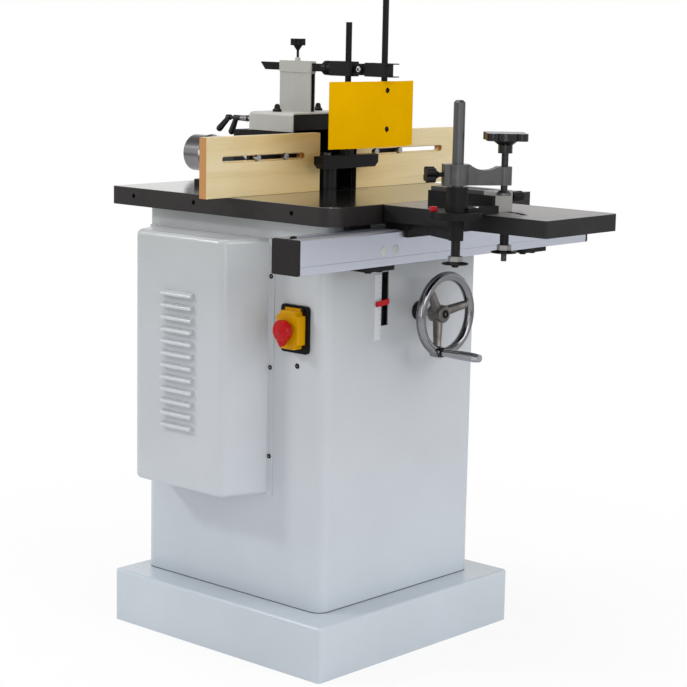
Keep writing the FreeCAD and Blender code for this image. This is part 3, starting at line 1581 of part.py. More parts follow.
def make_front_clamp():
    z0 = bar_middle - fork_height / 2
    z1 = bar_middle + fork_height / 2
    half = lug_thickness / 2 + fork_cheek
    root = clamp_front - lug_length - loose_gap
    body = rounded_block(post_x - half, post_x + half, fork_front, root, z0, z1, fork_cheek / 2)
    pieces = [body]
    for way in (-1, 1):
        x0, x1 = sorted((post_x + way * (lug_thickness / 2 + running_gap), post_x + way * half))
        pieces.append(block(x0, x1, root - fork_cheek, lug_eye, z0, z1))
        pieces.append(bar(fork_height, Vec(x0, lug_eye, bar_middle), Vec(x1, lug_eye, bar_middle)))
    for z in (z0 - fork_plate, z1):
        pieces.append(block(post_x - half, post_x + half, fork_front - fork_plate_reach, root, z,
                            z + fork_plate))
    bore = bar(rod_size + 2 * running_gap, Vec(post_x, guard_rod_y, z0 - fork_plate - overrun),
               Vec(post_x, guard_rod_y, z1 + fork_plate + overrun))
    slit = block(post_x, post_x + half + overrun, guard_rod_y - clamp_slit / 2,
                 guard_rod_y + clamp_slit / 2, z0 - fork_plate - overrun, z1 + fork_plate + overrun)
    left = Vec(post_x - half - link_bolt_head, lug_eye, bar_middle)
    right = Vec(post_x + half + link_bolt_head, lug_eye, bar_middle)
    hole = bar(link_bolt, left, right)
    fork = fused(pieces).cut([bore, slit, hole])
    head = Vec(link_bolt_head, 0, 0)
    bolt = fused([bar(link_bolt, left, right), bar(2 * link_bolt, left, left + head),
                  bar(2 * link_bolt, right - head, right)])
    return Part.makeCompound([fork, bolt])


def make_shoe_rod():
    bottom = shoe_bottom + shoe_height - shoe_rod_depth
    return bar(rod_size, Vec(post_x, shoe_rod_y, bottom), Vec(post_x, shoe_rod_y, bottom + rod_length))


def make_pressure_shoe():
    half = shoe_length / 2
    y0 = shoe_rod_y - shoe_depth / 2
    z0 = shoe_bottom
    z1 = shoe_bottom + shoe_height
    outline = [(-half + shoe_nose, z0), (half - shoe_nose, z0), (half, z0 + shoe_nose), (half, z1),
               (-half, z1), (-half, z0 + shoe_nose)]
    block_form = prism([Vec(post_x + x, y0, z) for x, z in outline], Vec(0, shoe_depth, 0))
    boss = bar(shoe_boss, Vec(post_x, shoe_rod_y, z0 + shoe_nose),
               Vec(post_x, shoe_rod_y, z1 + shoe_boss_height))
    boss = boss.common(block(post_x - half, post_x + half, y0, y0 + shoe_depth, z0, z1 + shoe_boss_height))
    hole = bar(rod_size, Vec(post_x, shoe_rod_y, z1 - shoe_rod_depth),
               Vec(post_x, shoe_rod_y, z1 + shoe_boss_height + overrun))
    return fused([block_form, boss]).cut(hole)


def make_guard_rod():
    bottom = guard_bottom + guard_rod_drop
    return bar(rod_size, Vec(post_x, guard_rod_y, bottom), Vec(post_x, guard_rod_y, bottom + rod_length))


def make_guard_plate():
    back = guard_rod_y - rod_size / 2
    front = back - guard_sheet
    right = guard_left + guard_width
    left_fold, right_fold = [guard_left + guard_width * share for share in guard_fold_shares]
    line = [(guard_left, front + guard_left_setback), (left_fold, front), (right_fold, front),
            (right, front + guard_right_setback)]
    outline = [Vec(x, y, guard_bottom) for x, y in line]
    outline = outline + [Vec(x, y + guard_sheet, guard_bottom) for x, y in reversed(line)]
    sheet = prism(outline, Vec(0, 0, guard_height))
    middle = guard_bottom + guard_height / 2

    def folds(y):
        return edges_where(sheet, lambda p: abs(p.z - middle) < overrun and abs(p.y - y) < running_gap
                           and guard_left + overrun < p.x < right - overrun)

    sheet = sheet.makeFillet(guard_bend + guard_sheet, folds(front))
    sheet = sheet.makeFillet(guard_bend, folds(back))
    top_hole = guard_bottom + guard_height - guard_hole_drop
    holes = []
    for z in (top_hole, top_hole - guard_hole_spread):
        holes.append(bar(guard_hole, Vec(post_x, front - overrun, z), Vec(post_x, back, z)))
    return sheet.cut(holes)


def arc_slot(size, z0, z1):
    """Curved slot round the mitre pivot for the front lock's stud."""
    dx = front_stud_x - pivot_x
    dy = front_stud_y - pivot_y
    radius = math.hypot(dx, dy)
    rest = math.atan2(dy, dx)
    swing = math.radians(mitre_swing)
    ring = turned([(radius - size / 2, z0), (radius + size / 2, z0), (radius + size / 2, z1),
                   (radius - size / 2, z1)], Vec(pivot_x, pivot_y, 0), Vec(0, 0, 1))
    reach = 2 * radius
    corners = [Vec(pivot_x, pivot_y, z0)]
    for angle in (rest - swing, rest, rest + swing):
        corners.append(Vec(pivot_x + reach * math.cos(angle), pivot_y + reach * math.sin(angle), z0))
    wedge = prism(corners, Vec(0, 0, z1 - z0))
    ends = []
    for angle in (rest - swing, rest + swing):
        place = Vec(pivot_x + radius * math.cos(angle), pivot_y + radius * math.sin(angle), z0)
        ends.append(bar(size, place, place + Vec(0, 0, z1 - z0)))
    return fused([ring.common(wedge)] + ends)


def make_slide_table():
    plate = rounded_block(slide_left, slide_right, slide_front, slide_back, slide_bottom, slide_top,
                          slide_corner)
    inner = (slide_left + slide_rim, slide_right - slide_rim, slide_front + slide_rim,
             rail_front - slide_rim)
    pocket = block(*inner, slide_bottom - overrun, slide_top - slide_skin)
    keep = arc_slot(slide_slot + 2 * slide_slot_boss, slide_bottom, slide_top - slide_skin)
    middle = (inner[2] + inner[3]) / 2
    rib = block(inner[0], inner[1], middle - slide_skin / 2, middle + slide_skin / 2, slide_bottom,
                slide_top - slide_skin)
    solid = plate.cut(pocket.cut([keep, rib]))
    return solid.cut(arc_slot(slide_slot, slide_bottom - overrun, slide_top + overrun))


def make_slide_carriage():
    x0 = slide_left + carriage_margin
    x1 = slide_right - carriage_margin
    low = rail_top + slide_gap
    middle = (rail_front + rail_back) / 2
    lip_y = rail_front - slide_gap
    saddle = block(x0, x1, lip_y - carriage_lip, slide_back, low, slide_bottom)
    lip = block(x0, x1, lip_y - carriage_lip, lip_y, slide_bottom - carriage_lip_drop, slide_bottom)
    neck_low = rail_top - rail_lip - slide_gap
    neck = block(x0, x1, middle - carriage_tongue / 2, middle + carriage_tongue / 2, neck_low, low)
    head = block(x0, x1, middle - carriage_head / 2, middle + carriage_head / 2,
                 neck_low - carriage_head_height, neck_low)
    arm_z = slide_bottom - carriage_arm
    root_y = lip_y - carriage_lip
    root = x0 + carriage_boss
    arm = prism([Vec(x0, root_y, arm_z), Vec(root, root_y, arm_z),
                 Vec(pivot_x + carriage_boss / 3, pivot_y, arm_z),
                 Vec(pivot_x - carriage_boss / 3, pivot_y, arm_z)], Vec(0, 0, carriage_arm))
    boss = bar(carriage_boss, Vec(pivot_x, pivot_y, arm_z), Vec(pivot_x, pivot_y, disc_bottom - slide_gap))
    slide_side = block(slide_left - slide_gap, slide_right, slide_front, slide_back, slide_bottom,
                       slide_top + overrun)
    hole = bar(pivot_stud + 2 * running_gap, Vec(pivot_x, pivot_y, arm_z - overrun),
               Vec(pivot_x, pivot_y, disc_top))
    return fused([saddle, lip, neck, head, arm, boss.cut(slide_side)]).cut(hole)


def make_mitre_base():
    pivot = Vec(pivot_x, pivot_y, 0)
    disc = bar(disc_size, pivot + Vec(0, 0, disc_bottom), pivot + Vec(0, 0, disc_top))
    disc = disc.cut(block(slide_left - slide_gap, slide_right, slide_front, slide_back, slide_bottom,
                          mitre_bottom))
    foot_top = disc_top + foot_thickness
    foot = block(pivot_x, mitre_left, pivot_y - foot_width / 2, pivot_y + foot_width / 2, mitre_bottom,
                 foot_top)
    upright = block(mitre_left - upright_thickness, mitre_left, mitre_front, mitre_front + mitre_length,
                    mitre_bottom, mitre_bottom + upright_height)
    sleeve = bar(sleeve_size, pivot + Vec(0, 0, disc_top), pivot + Vec(0, 0, disc_top + sleeve_height))
    bore = bar(column_size + 2 * running_gap, pivot + Vec(0, 0, disc_top),
               pivot + Vec(0, 0, disc_top + sleeve_height + overrun))
    stud = bar(pivot_stud, pivot + Vec(0, 0, disc_bottom - pivot_stud_length),
               pivot + Vec(0, 0, disc_bottom))
    return fused([disc, foot, upright, sleeve, stud]).cut(bore)


def make_mitre_fence():
    x0 = mitre_left
    x1 = mitre_left + mitre_width
    y0 = mitre_front
    y1 = mitre_front + mitre_length
    z0 = mitre_bottom
    z1 = mitre_bottom + mitre_height
    solid = block(x0, x1, y0, y1, z0, z1)
    middle = (x0 + x1) / 2
    cutters = []
    for xa, xb in ((x0 + mitre_wall, middle - mitre_groove), (middle + mitre_groove, x1 - mitre_wall)):
        cutters.append(block(xa, xb, y0 + mitre_wall, y1 + overrun, z0 + mitre_wall, z1 - mitre_wall))
    cutters.append(block(middle - mitre_groove / 2, middle + mitre_groove / 2, y0 + mitre_wall,
                         y1 + overrun, z1 - mitre_groove_depth, z1 + overrun))
    y = y0 + fence_knob_setback
    z = z0 + fence_knob_rise
    cutters.append(bar(fence_knob_stem + 2 * running_gap, Vec(x1 - fence_knob_entry - overrun, y, z),
                       Vec(x1 + overrun, y, z)))
    stud = bar(front_stud, Vec(front_stud_x, front_stud_y, z0 - front_stud_length),
               Vec(front_stud_x, front_stud_y, z0))
    return fused([solid.cut(cutters), stud])


def make_lock(x, y, top, stud, sleeve_length):
    """Hand nut on a long sleeve, hanging on a stud."""
    axis = Vec(x, y, top)
    nut_base = axis - Vec(0, 0, sleeve_length + lock_nut_height)
    sleeve = bar(lock_sleeve, axis, nut_base)
    nut = hexagon(lock_nut, lock_nut_height, nut_base)
    rim = lock_flange / 2
    low = lock_flange_taper + lock_flange_edge
    flange = turned([(0, 0), (lock_sleeve / 2, 0), (rim, -lock_flange_taper), (rim, -low), (0, -low)],
                    nut_base, Vec(0, 0, 1))
    bore = bar(stud + 2 * running_gap, axis + Vec(0, 0, overrun), nut_base - Vec(0, 0, low + overrun))
    return fused([sleeve, nut, flange]).cut(bore)


def make_pivot_lock():
    return make_lock(pivot_x, pivot_y, slide_bottom - carriage_arm - slide_gap, pivot_stud,
                     pivot_lock_sleeve)


def make_front_lock():
    return make_lock(front_stud_x, front_stud_y, slide_bottom - slide_gap, front_stud, front_lock_sleeve)


def make_fence_knob():
    x0 = mitre_left + mitre_width
    y = mitre_front + fence_knob_setback
    z = mitre_bottom + fence_knob_rise
    stem = bar(fence_knob_stem, Vec(x0 - fence_knob_entry, y, z), Vec(x0 + fence_knob_stem_length, y, z))
    lobe = fence_knob_size / 3
    head = star(fence_knob_size, lobe, fence_knob_lobes, fence_knob_length,
                Vec(x0 + fence_knob_stem_length, y, z), Vec(1, 0, 0))
    return fused([stem, head])


def make_clamp_column():
    radius = column_size / 2
    top = column_top
    foot = disc_top + slide_gap
    profile = [(0, foot), (radius, foot), (radius, top - column_round), (radius - column_round, top),
               (0, top)]
    return turned(profile, Vec(pivot_x, pivot_y, 0), Vec(0, 0, 1))


def arm_frame():
    """Directions along and across the clamp arm, and the screw's place."""
    angle = math.radians(arm_angle)
    along = Vec(math.cos(angle), math.sin(angle), 0)
    across = Vec(-math.sin(angle), math.cos(angle), 0)
    return along, across, Vec(pivot_x, pivot_y, 0) + along * arm_reach


def make_clamp_arm():
    along, across, screw = arm_frame()
    pivot = Vec(pivot_x, pivot_y, 0)
    top = arm_bottom + arm_hub_height
    boss_top = arm_bottom + arm_boss_height
    web_top = arm_bottom + arm_web_height
    hub = bar(arm_hub, pivot + Vec(0, 0, arm_bottom), pivot + Vec(0, 0, top))
    boss = bar(arm_boss, screw + Vec(0, 0, arm_bottom), screw + Vec(0, 0, boss_top))
    root = pivot - across * (arm_web / 2)
    hub_edge = arm_hub / 2
    boss_edge = arm_reach - arm_boss / 2

    def on_web(run, z):
        return root + along * run + Vec(0, 0, z)

    saddle = Part.Arc(on_web(boss_edge, boss_top), on_web((boss_edge + hub_edge) / 2, web_top),
                      on_web(hub_edge, top))
    sides = Part.makePolygon([on_web(hub_edge, top), on_web(0, top), on_web(0, arm_bottom),
                              on_web(boss_edge, arm_bottom), on_web(boss_edge, boss_top)])
    web = Part.Face(Part.Wire([saddle.toShape()] + sides.Edges)).extrude(across * arm_web)
    boss_root = prism([on_web(boss_edge, arm_bottom), on_web(arm_reach, arm_bottom),
                       on_web(arm_reach, boss_top), on_web(boss_edge, boss_top)], across * arm_web)
    ear_back = -hub_edge - arm_ear / 2
    ear = prism([on_web(ear_back, arm_bottom), on_web(0, arm_bottom), on_web(0, top),
                 on_web(ear_back, top)], across * arm_web)
    middle = pivot + Vec(0, 0, arm_bottom + arm_hub_height / 2)
    tapped = bar(wing_stem + 2 * slide_gap, middle, middle + along * (ear_back - overrun))
    bore = bar(column_size + 2 * running_gap, pivot + Vec(0, 0, arm_bottom - overrun),
               pivot + Vec(0, 0, top + overrun))
    thread = bar(clamp_screw_size + 2 * slide_gap, screw + Vec(0, 0, arm_bottom - overrun),
                 screw + Vec(0, 0, boss_top + overrun))
    return fused([hub, boss, web, boss_root, ear]).cut([tapped, bore, thread])


def make_clamp_pad():
    screw = arm_frame()[2]
    radius = pad_size / 2
    socket = clamp_screw_size / 2 + running_gap
    bottom = pad_top - pad_height
    profile = [(0, bottom), (radius, bottom), (radius, bottom + pad_height / 2),
               (socket + pad_wall, pad_top), (socket, pad_top), (socket, pad_top - pad_socket),
               (0, pad_top - pad_socket)]
    return turned(profile, screw, Vec(0, 0, 1))


def make_clamp_screw():
    screw = arm_frame()[2]
    bottom = pad_top - pad_socket + running_gap
    stem = bar(clamp_screw_size, screw + Vec(0, 0, bottom), screw + Vec(0, 0, clamp_screw_top))
    hub = clamp_knob_hub / 2
    flare = clamp_knob_flare / 2
    flare_top = clamp_knob_hub_height + clamp_knob_flare_height
    neck = turned([(0, 0), (hub, 0), (hub, clamp_knob_hub_height), (flare, flare_top), (0, flare_top)],
                  screw + Vec(0, 0, clamp_screw_top), Vec(0, 0, 1))
    head = star(clamp_knob_size, clamp_knob_lobe, clamp_knob_lobes, clamp_knob_height,
                screw + Vec(0, 0, clamp_screw_top + flare_top), Vec(0, 0, 1))
    return fused([stem, neck, head])


def make_wing_knob():
    back = arm_frame()[0] * -1
    middle = Vec(pivot_x, pivot_y, arm_bottom + arm_hub_height / 2)
    start = middle + back * (arm_hub / 2 + arm_ear / 2 + slide_gap)
    neck_base = start + back * wing_stem_length
    head_base = neck_base + back * wing_neck_length
    stem = bar(wing_stem, middle + back * (column_size / 2 + slide_gap), neck_base)
    neck = Part.makeCone(wing_stem / 2, wing_neck / 2, wing_neck_length, neck_base, back)
    head = star(wing_size, wing_lobe, wing_lobes, wing_length, head_base, back)
    return fused([stem, neck, head])


def main():
    os.makedirs("parts", exist_ok=True)
    (left_x, left_slot), (right_x, right_slot) = board_places()
    nodes = {
        "base_plinth": make_plinth(),
        "cabinet": make_cabinet(),
        "motor_cover": make_cover(),
        "table": make_table(),
        "insert_rings": make_insert_rings(),
        "guide_rail": make_rail(),
        "rail_end_caps": make_rail_caps(),
        "rail_brackets": make_rail_brackets(),
        "switch_box": make_switch_box(),
        "switch_lid": make_switch_lid(),
        "stop_button": make_stop_button(),
        "start_button": make_start_button(),
        "shaft_bush": make_shaft_bush(),
        "handwheel_shaft": make_handwheel_shaft(),
        "handwheel": make_handwheel(),
        "crank_handle": make_crank_handle(),
        "lift_screw": make_lift_screw(),
        "quill_bracket": make_quill_bracket(),
        "quill": make_quill(),
        "spindle_bearings": make_spindle_bearings(),
        "motor_plate": make_motor_plate(),
        "motor": make_motor(),
        "motor_pulley": make_motor_pulley(),
        "spindle_pulley": make_spindle_pulley(),
        "drive_belt": make_belt(),
        "spindle": make_spindle(),
        "spacer_rings": make_spacer_rings(),
        "spindle_nut": make_spindle_nut(),
        "scale_pointer": make_scale_pointer(),
        "fence_hood": make_fence_hood(),
        "hood_lid": make_hood_lid(),
        "lid_knobs": make_lid_knobs(),
        "dust_port": make_dust_port(),
        "left_board": make_board(left_x, left_slot),
        "right_board": make_board(right_x, right_slot),
        "board_bolts": make_board_bolts(),
        "left_lock_knob": make_lock_knob(lock_x_left),
        "right_lock_knob": make_lock_knob(lock_x_right),
        "adjuster_knob": make_adjuster_knob(),
        "guard_post": make_guard_post(),
        "guard_bar": make_guard_bar(),
        "bar_lock_knob": make_bar_lock_knob(),
        "rear_clamp": make_rear_clamp(),
        "front_clamp": make_front_clamp(),
        "shoe_rod": make_shoe_rod(),
        "pressure_shoe": make_pressure_shoe(),
        "guard_rod": make_guard_rod(),
        "guard_plate": make_guard_plate(),
        "slide_table": make_slide_table(),
        "slide_carriage": make_slide_carriage(),
        "mitre_base": make_mitre_base(),
        "mitre_fence": make_mitre_fence(),
        "pivot_lock": make_pivot_lock(),
        "front_lock": make_front_lock(),
        "fence_knob": make_fence_knob(),
        "clamp_column": make_clamp_column(),
        "clamp_arm": make_clamp_arm(),
        "clamp_pad": make_clamp_pad(),
        "clamp_screw": make_clamp_screw(),
        "wing_knob": make_wing_knob(),
    }
    for name, shape in nodes.items():
        shape.exportStep(f"parts/{name}.step")
        print(name, len(shape.Solids), shape.isValid(), round(shape.Volume))


main()
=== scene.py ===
import bmesh
import bpy
import math
from mathutils import Matrix, Vector


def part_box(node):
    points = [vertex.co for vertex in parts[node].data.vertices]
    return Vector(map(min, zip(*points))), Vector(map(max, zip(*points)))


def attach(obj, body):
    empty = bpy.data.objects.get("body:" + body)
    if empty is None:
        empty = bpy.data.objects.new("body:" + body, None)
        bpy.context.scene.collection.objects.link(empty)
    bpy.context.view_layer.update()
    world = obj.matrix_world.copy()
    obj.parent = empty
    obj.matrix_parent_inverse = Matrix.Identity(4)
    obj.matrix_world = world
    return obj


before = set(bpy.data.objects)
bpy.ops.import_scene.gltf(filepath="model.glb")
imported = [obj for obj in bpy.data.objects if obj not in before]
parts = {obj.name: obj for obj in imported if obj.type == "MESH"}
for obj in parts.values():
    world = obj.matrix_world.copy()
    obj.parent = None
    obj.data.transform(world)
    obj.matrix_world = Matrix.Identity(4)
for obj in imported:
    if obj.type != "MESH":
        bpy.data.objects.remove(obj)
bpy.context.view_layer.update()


# Plinth, cabinet and motor cover: folded sheet steel, welded and powder coated in a light cool grey.
# The coat has a fine orange peel and drifts a little in shade over the large panels. Its colour stays cool near
# the floor and is painted warmer and darker towards the table, as painted shade under the table and a painted
# warm reflection. A dark seam shows where the cabinet stands on its plinth.

def tone(red, green, blue):
    """Linear colour from an eight-bit shade, as it is seen in plain light."""
    shades = []
    for value in (red, green, blue):
        share = value / 255
        shades.append(share / 12.92 if share <= 0.04045 else ((share + 0.055) / 1.055) ** 2.4)
    return (*shades, 1.0)


def lead(tree, value, socket):
    """Gives a socket a plain value, or links it to another socket."""
    if isinstance(value, bpy.types.NodeSocket):
        tree.links.new(value, socket)
    else:
        socket.default_value = value


def fill(tree, node, values):
    """Fills a node's sockets by name."""
    for key, value in values.items():
        lead(tree, value, node.inputs[key.replace("_", " ")])
    return node


def add(tree, kind, **values):
    """New node with its sockets filled by name."""
    return fill(tree, tree.nodes.new(kind), values)


def mixed(tree, share, first, second, kind="RGBA", blend="MIX"):
    """Mix of two colours, or of two numbers, by a share."""
    mix = tree.nodes.new("ShaderNodeMix")
    mix.data_type = kind
    mix.blend_type = blend
    places, result = ((0, 6, 7), 2) if kind == "RGBA" else ((0, 2, 3), 0)
    for place, value in zip(places, (share, first, second)):
        lead(tree, value, mix.inputs[place])
    return mix.outputs[result]


def stepped(tree, value, low, high, **ends):
    """Share that goes from 0 to 1, or between other ends, as a value goes from low to high."""
    return add(tree, "ShaderNodeMapRange", Value=value, From_Min=low, From_Max=high, **ends).outputs["Result"]


def ramped(tree, value, stops):
    """Colour from a row of stops, each a position and a colour."""
    ramp = add(tree, "ShaderNodeValToRGB", Fac=value)
    elements = ramp.color_ramp.elements
    while len(elements) < len(stops):
        elements.new(0.5)
    for element, (position, colour) in zip(elements, stops):
        element.position = position
        element.color = colour
    return ramp.outputs["Color"]


def place_of(tree, axis="", source="Object"):
    """Place on the piece, whole or along one axis."""
    spot = tree.nodes.new("ShaderNodeTexCoord").outputs[source]
    if not axis:
        return spot
    return add(tree, "ShaderNodeSeparateXYZ", Vector=spot).outputs[axis]


def new_effect(name, own):
    """Group for a surface: two shades, two degrees of gloss and values of its own."""
    group = bpy.data.node_groups.new(name, "ShaderNodeTree")
    shades = [("Colour", "NodeSocketColor"), ("Shade", "NodeSocketColor")]
    for label, kind in shades + own + [("Gloss", "NodeSocketFloat"), ("Dull", "NodeSocketFloat")]:
        group.interface.new_socket(label, in_out="INPUT", socket_type=kind)
    results = [("Colour", "NodeSocketColor"), ("Roughness", "NodeSocketFloat"), ("Height", "NodeSocketFloat")]
    for label, kind in results:
        group.interface.new_socket(label, in_out="OUTPUT", socket_type=kind)
    return group, group.nodes.new("NodeGroupInput").outputs


def close_effect(group, given, share, height, shade_first):
    """Mixes an effect's shades and glosses by a share and leads them out with its height."""
    leave = group.nodes.new("NodeGroupOutput")
    pairs = (("Colour", "Shade", "Colour", "RGBA"), ("Roughness", "Dull", "Gloss", "FLOAT"))
    for label, first, second, kind in pairs:
        if not shade_first:
            first, second = second, first
        lead(group, mixed(group, share, given[first], given[second], kind), leave.inputs[label])
    lead(group, height, leave.inputs["Height"])


def new_finish(name, colour, roughness, metallic=0.0, shine=0.5):
    """Material whose plain values sit on the shader's own sockets."""
    finish = bpy.data.materials.new(name)
    finish.use_nodes = True
    fill(finish.node_tree, finish.node_tree.nodes["Principled BSDF"],
         {"Base Color": colour, "Roughness": roughness, "Metallic": metallic, "Specular IOR Level": shine})
    return finish


def use_effect(finish, group, **values):
    """Puts a shared effect into a finish with its own values."""
    made = finish.node_tree.nodes.new("ShaderNodeGroup")
    made.node_tree = group
    return fill(finish.node_tree, made, values)


def raise_surface(tree, height, depth, distance):
    """Leads a height to the shader as fine relief."""
    bump = add(tree, "ShaderNodeBump", Strength=depth, Distance=distance, Height=height)
    lead(tree, bump.outputs["Normal"], tree.nodes["Principled BSDF"].inputs["Normal"])


def coated(name, colour, roughness, group, depth, distance=0.001, metallic=0.0, shine=0.5, **values):
    """Finish with one shared effect all over."""
    finish = new_finish(name, colour, roughness, metallic, shine)
    tree = finish.node_tree
    effect = use_effect(finish, group, **values).outputs
    fill(tree, tree.nodes["Principled BSDF"], {"Base Color": effect["Colour"], "Roughness": effect["Roughness"]})
    raise_surface(tree, effect["Height"], depth, distance)
    return finish


def blend_effects(finish, mask, low, high, metal_low, metal_high, depth, distance=0.0005):
    """Puts one shared effect where a mask is 0 and another where it is 1."""
    tree = finish.node_tree
    shader = tree.nodes["Principled BSDF"].inputs
    for label, socket, kind in (("Colour", "Base Color", "RGBA"), ("Roughness", "Roughness", "FLOAT")):
        lead(tree, mixed(tree, mask, low.outputs[label], high.outputs[label], kind), shader[socket])
    metal = metal_low
    if metal_high != metal_low:
        metal = stepped(tree, mask, 0.0, 1.0, To_Min=metal_low, To_Max=metal_high)
    lead(tree, metal, shader["Metallic"])
    raise_surface(tree, mixed(tree, mask, low.outputs["Height"], high.outputs["Height"], "FLOAT"), depth, distance)


def above(finish, axis, edge, softness):
    """Mask that is 1 beyond a place along one of the piece's axes."""
    return stepped(finish.node_tree, place_of(finish.node_tree, axis), edge - softness, edge + softness)


def tint_by_height(finish, stops):
    """Multiplies a finish's colour by tints set at heights over the floor, in metres."""
    tree = finish.node_tree
    colour = tree.nodes["Principled BSDF"].inputs["Base Color"]
    tint = ramped(tree, place_of(tree, "Z"), stops)
    lead(tree, mixed(tree, 1.0, colour.links[0].from_socket, tint, blend="MULTIPLY"), colour)


def dress(finish, *names):
    """Gives a finish to pieces of the frame."""
    for name in names:
        slots = parts[name].data.materials
        slots.clear()
        slots.append(finish)


coat_group, given = new_effect("enamel coat", [("Drift", "NodeSocketFloat"), ("Peel", "NodeSocketFloat")])
spot = place_of(coat_group)
cloud = add(coat_group, "ShaderNodeTexNoise", Vector=spot, Scale=given["Drift"], Detail=6.0, Roughness=0.6)
peel = add(coat_group, "ShaderNodeTexNoise", Vector=spot, Scale=given["Peel"], Detail=2.0, Roughness=0.5)
spread = stepped(coat_group, cloud.outputs["Fac"], 0.3, 0.7)
close_effect(coat_group, given, spread, peel.outputs["Fac"], shade_first=True)

sheet_colour = tone(196, 205, 213)
sheet_coat = {"Colour": sheet_colour, "Shade": tone(187, 195, 203), "Drift": 2.4, "Peel": 420.0,
              "Gloss": 0.22, "Dull": 0.26}
sheet_relief = 0.04
seam_height = 0.0016
shade_and_reflection_tints = ((0.1, (1.0, 1.0, 1.0, 1.0)), (0.45, (0.97, 0.92, 0.9, 1.0)),
               (0.58, (0.96, 0.91, 0.88, 1.0)), (0.82, (0.85, 0.8, 0.74, 1.0)))

cabinet_paint = coated("cabinet grey enamel", sheet_colour, 0.3, coat_group, sheet_relief, **sheet_coat)
dress(cabinet_paint, "base_plinth", "motor_cover")

seam_paint = new_finish("cabinet grey enamel over a dark seam", sheet_colour, 0.3)
seam_gap = use_effect(seam_paint, coat_group, Colour=tone(70, 74, 80), Shade=tone(52, 55, 60),
                      Drift=20.0, Peel=420.0, Gloss=0.5, Dull=0.6)
panel_coat = use_effect(seam_paint, coat_group, **sheet_coat)
over_seam = above(seam_paint, "Z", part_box("cabinet")[0].z + seam_height, 0.0004)
blend_effects(seam_paint, over_seam, seam_gap, panel_coat, 0.0, 0.0, sheet_relief)
dress(seam_paint, "cabinet")

# Painted shade and reflection: both enamels' colour is multiplied by tints that grow warmer and darker upwards.
for enamel in (cabinet_paint, seam_paint):
    tint_by_height(enamel, shade_and_reflection_tints)
    fill(enamel.node_tree, enamel.node_tree.nodes["Principled BSDF"], {"Coat Weight": 0.3, "Coat Roughness": 0.12})


# Cover screws and panel screw: black button-head screws that hold the motor cover's flanges to the cabinet,
# and one more that holds the switch wiring's clamp on the inside of the panel.

def new_round(name, corners, radius, length):
    """Cylinder that stands on the origin."""
    bpy.ops.object.select_all(action="DESELECT")
    bpy.ops.mesh.primitive_cylinder_add(vertices=corners, radius=radius, depth=length, location=(0, 0, length / 2))
    piece = bpy.context.object
    piece.name = name
    return piece


def select_faces(piece, wanted):
    """In edit mode, selects the faces that a test accepts."""
    shape = bmesh.from_edit_mesh(piece.data)
    for face in shape.faces:
        face.select_set(wanted(face))
    bmesh.update_edit_mesh(piece.data)


def faces_up(face):
    """Whether a face looks up."""
    return face.normal.z > 0.9


def set_in_place(piece, place, facing):
    """Turns a piece's Z to a direction and takes turn and place into its mesh."""
    piece.rotation_mode = "QUATERNION"
    piece.rotation_quaternion = Vector(facing).to_track_quat("Z", "Y")
    piece.location = place
    bpy.ops.object.transform_apply(location=True, rotation=True, scale=True)


def cap_screw(name, head, height, socket, place, facing):
    """Round-headed screw with a round recess, its head seated on a face."""
    screw = new_round(name, 24, head / 2, height)
    crown = height * 0.4
    bpy.ops.object.mode_set(mode="EDIT")
    select_faces(screw, faces_up)
    bpy.ops.mesh.bevel(offset=crown, segments=3, affect="EDGES")
    shape = bmesh.from_edit_mesh(screw.data)
    top = max(face.calc_center_median().z for face in shape.faces)
    select_faces(screw, lambda face: face.normal.z > 0.99 and face.calc_center_median().z > top - height * 0.01)
    bpy.ops.mesh.inset(thickness=head / 2 - crown - socket / 2)
    bpy.ops.mesh.extrude_region_move(TRANSFORM_OT_translate={"value": (0, 0, -height * 0.7)})
    bpy.ops.object.mode_set(mode="OBJECT")
    bpy.ops.object.shade_smooth_by_angle(angle=math.radians(35))
    set_in_place(screw, place, facing)
    return screw


grain_group, given = new_effect("moulded grain", [("Grain", "NodeSocketFloat")])
spot = place_of(grain_group)
cells = add(grain_group, "ShaderNodeTexVoronoi", Vector=spot, Scale=given["Grain"])
dust = add(grain_group, "ShaderNodeTexNoise", Vector=spot, Scale=22.0, Detail=5.0, Roughness=0.65)
close_effect(grain_group, given, dust.outputs["Fac"], cells.outputs["Distance"], shade_first=False)

screw_black = coated("blackened screw", tone(11, 11, 12), 0.4, grain_group, 0.1, 0.0002, shine=0.1,
                     Colour=tone(12, 12, 13), Shade=tone(26, 26, 27), Grain=1500.0, Gloss=0.3, Dull=0.5)

cover_low, cover_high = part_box("motor_cover")
flange_sheet = 0.002
flange_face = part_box("cabinet")[0].x - flange_sheet
flange_inset = 0.008
cover_screw_heights = (0.383, 0.551, 0.721)
for row, z in enumerate(cover_screw_heights):
    for side, y in (("front", cover_low.y + flange_inset), ("back", cover_high.y - flange_inset)):
        screw = cap_screw(f"cover_screw_{side}_{row}", 0.009, 0.0035, 0.004, (flange_face, y, z), (-1, 0, 0))
        screw.data.materials.append(screw_black)
        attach(screw, "machine_frame")

panel_screw_place = (flange_face + flange_sheet, -0.155, 0.562)
panel_screw = cap_screw("panel_screw", 0.010, 0.004, 0.004, panel_screw_place, (-1, 0, 0))
panel_screw.data.materials.append(screw_black)
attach(panel_screw, "machine_frame")


# Table and insert rings: grey-iron casting, its top ground and waxed, its edges and underside in charcoal paint.
# Grinding leaves fine streaks along the table, and the rings are turned from the same iron.

def calculated(tree, operation, *values, kind="ShaderNodeMath"):
    """Result of a sum on numbers."""
    made = tree.nodes.new(kind)
    made.operation = operation
    for socket, value in zip(made.inputs, values):
        lead(tree, value, socket)
    return made.outputs["Vector" if kind == "ShaderNodeVectorMath" and operation != "LENGTH" else "Value"]


def vector_sum(tree, operation, *values):
    """Result of a sum on places."""
    return calculated(tree, operation, *values, kind="ShaderNodeVectorMath")


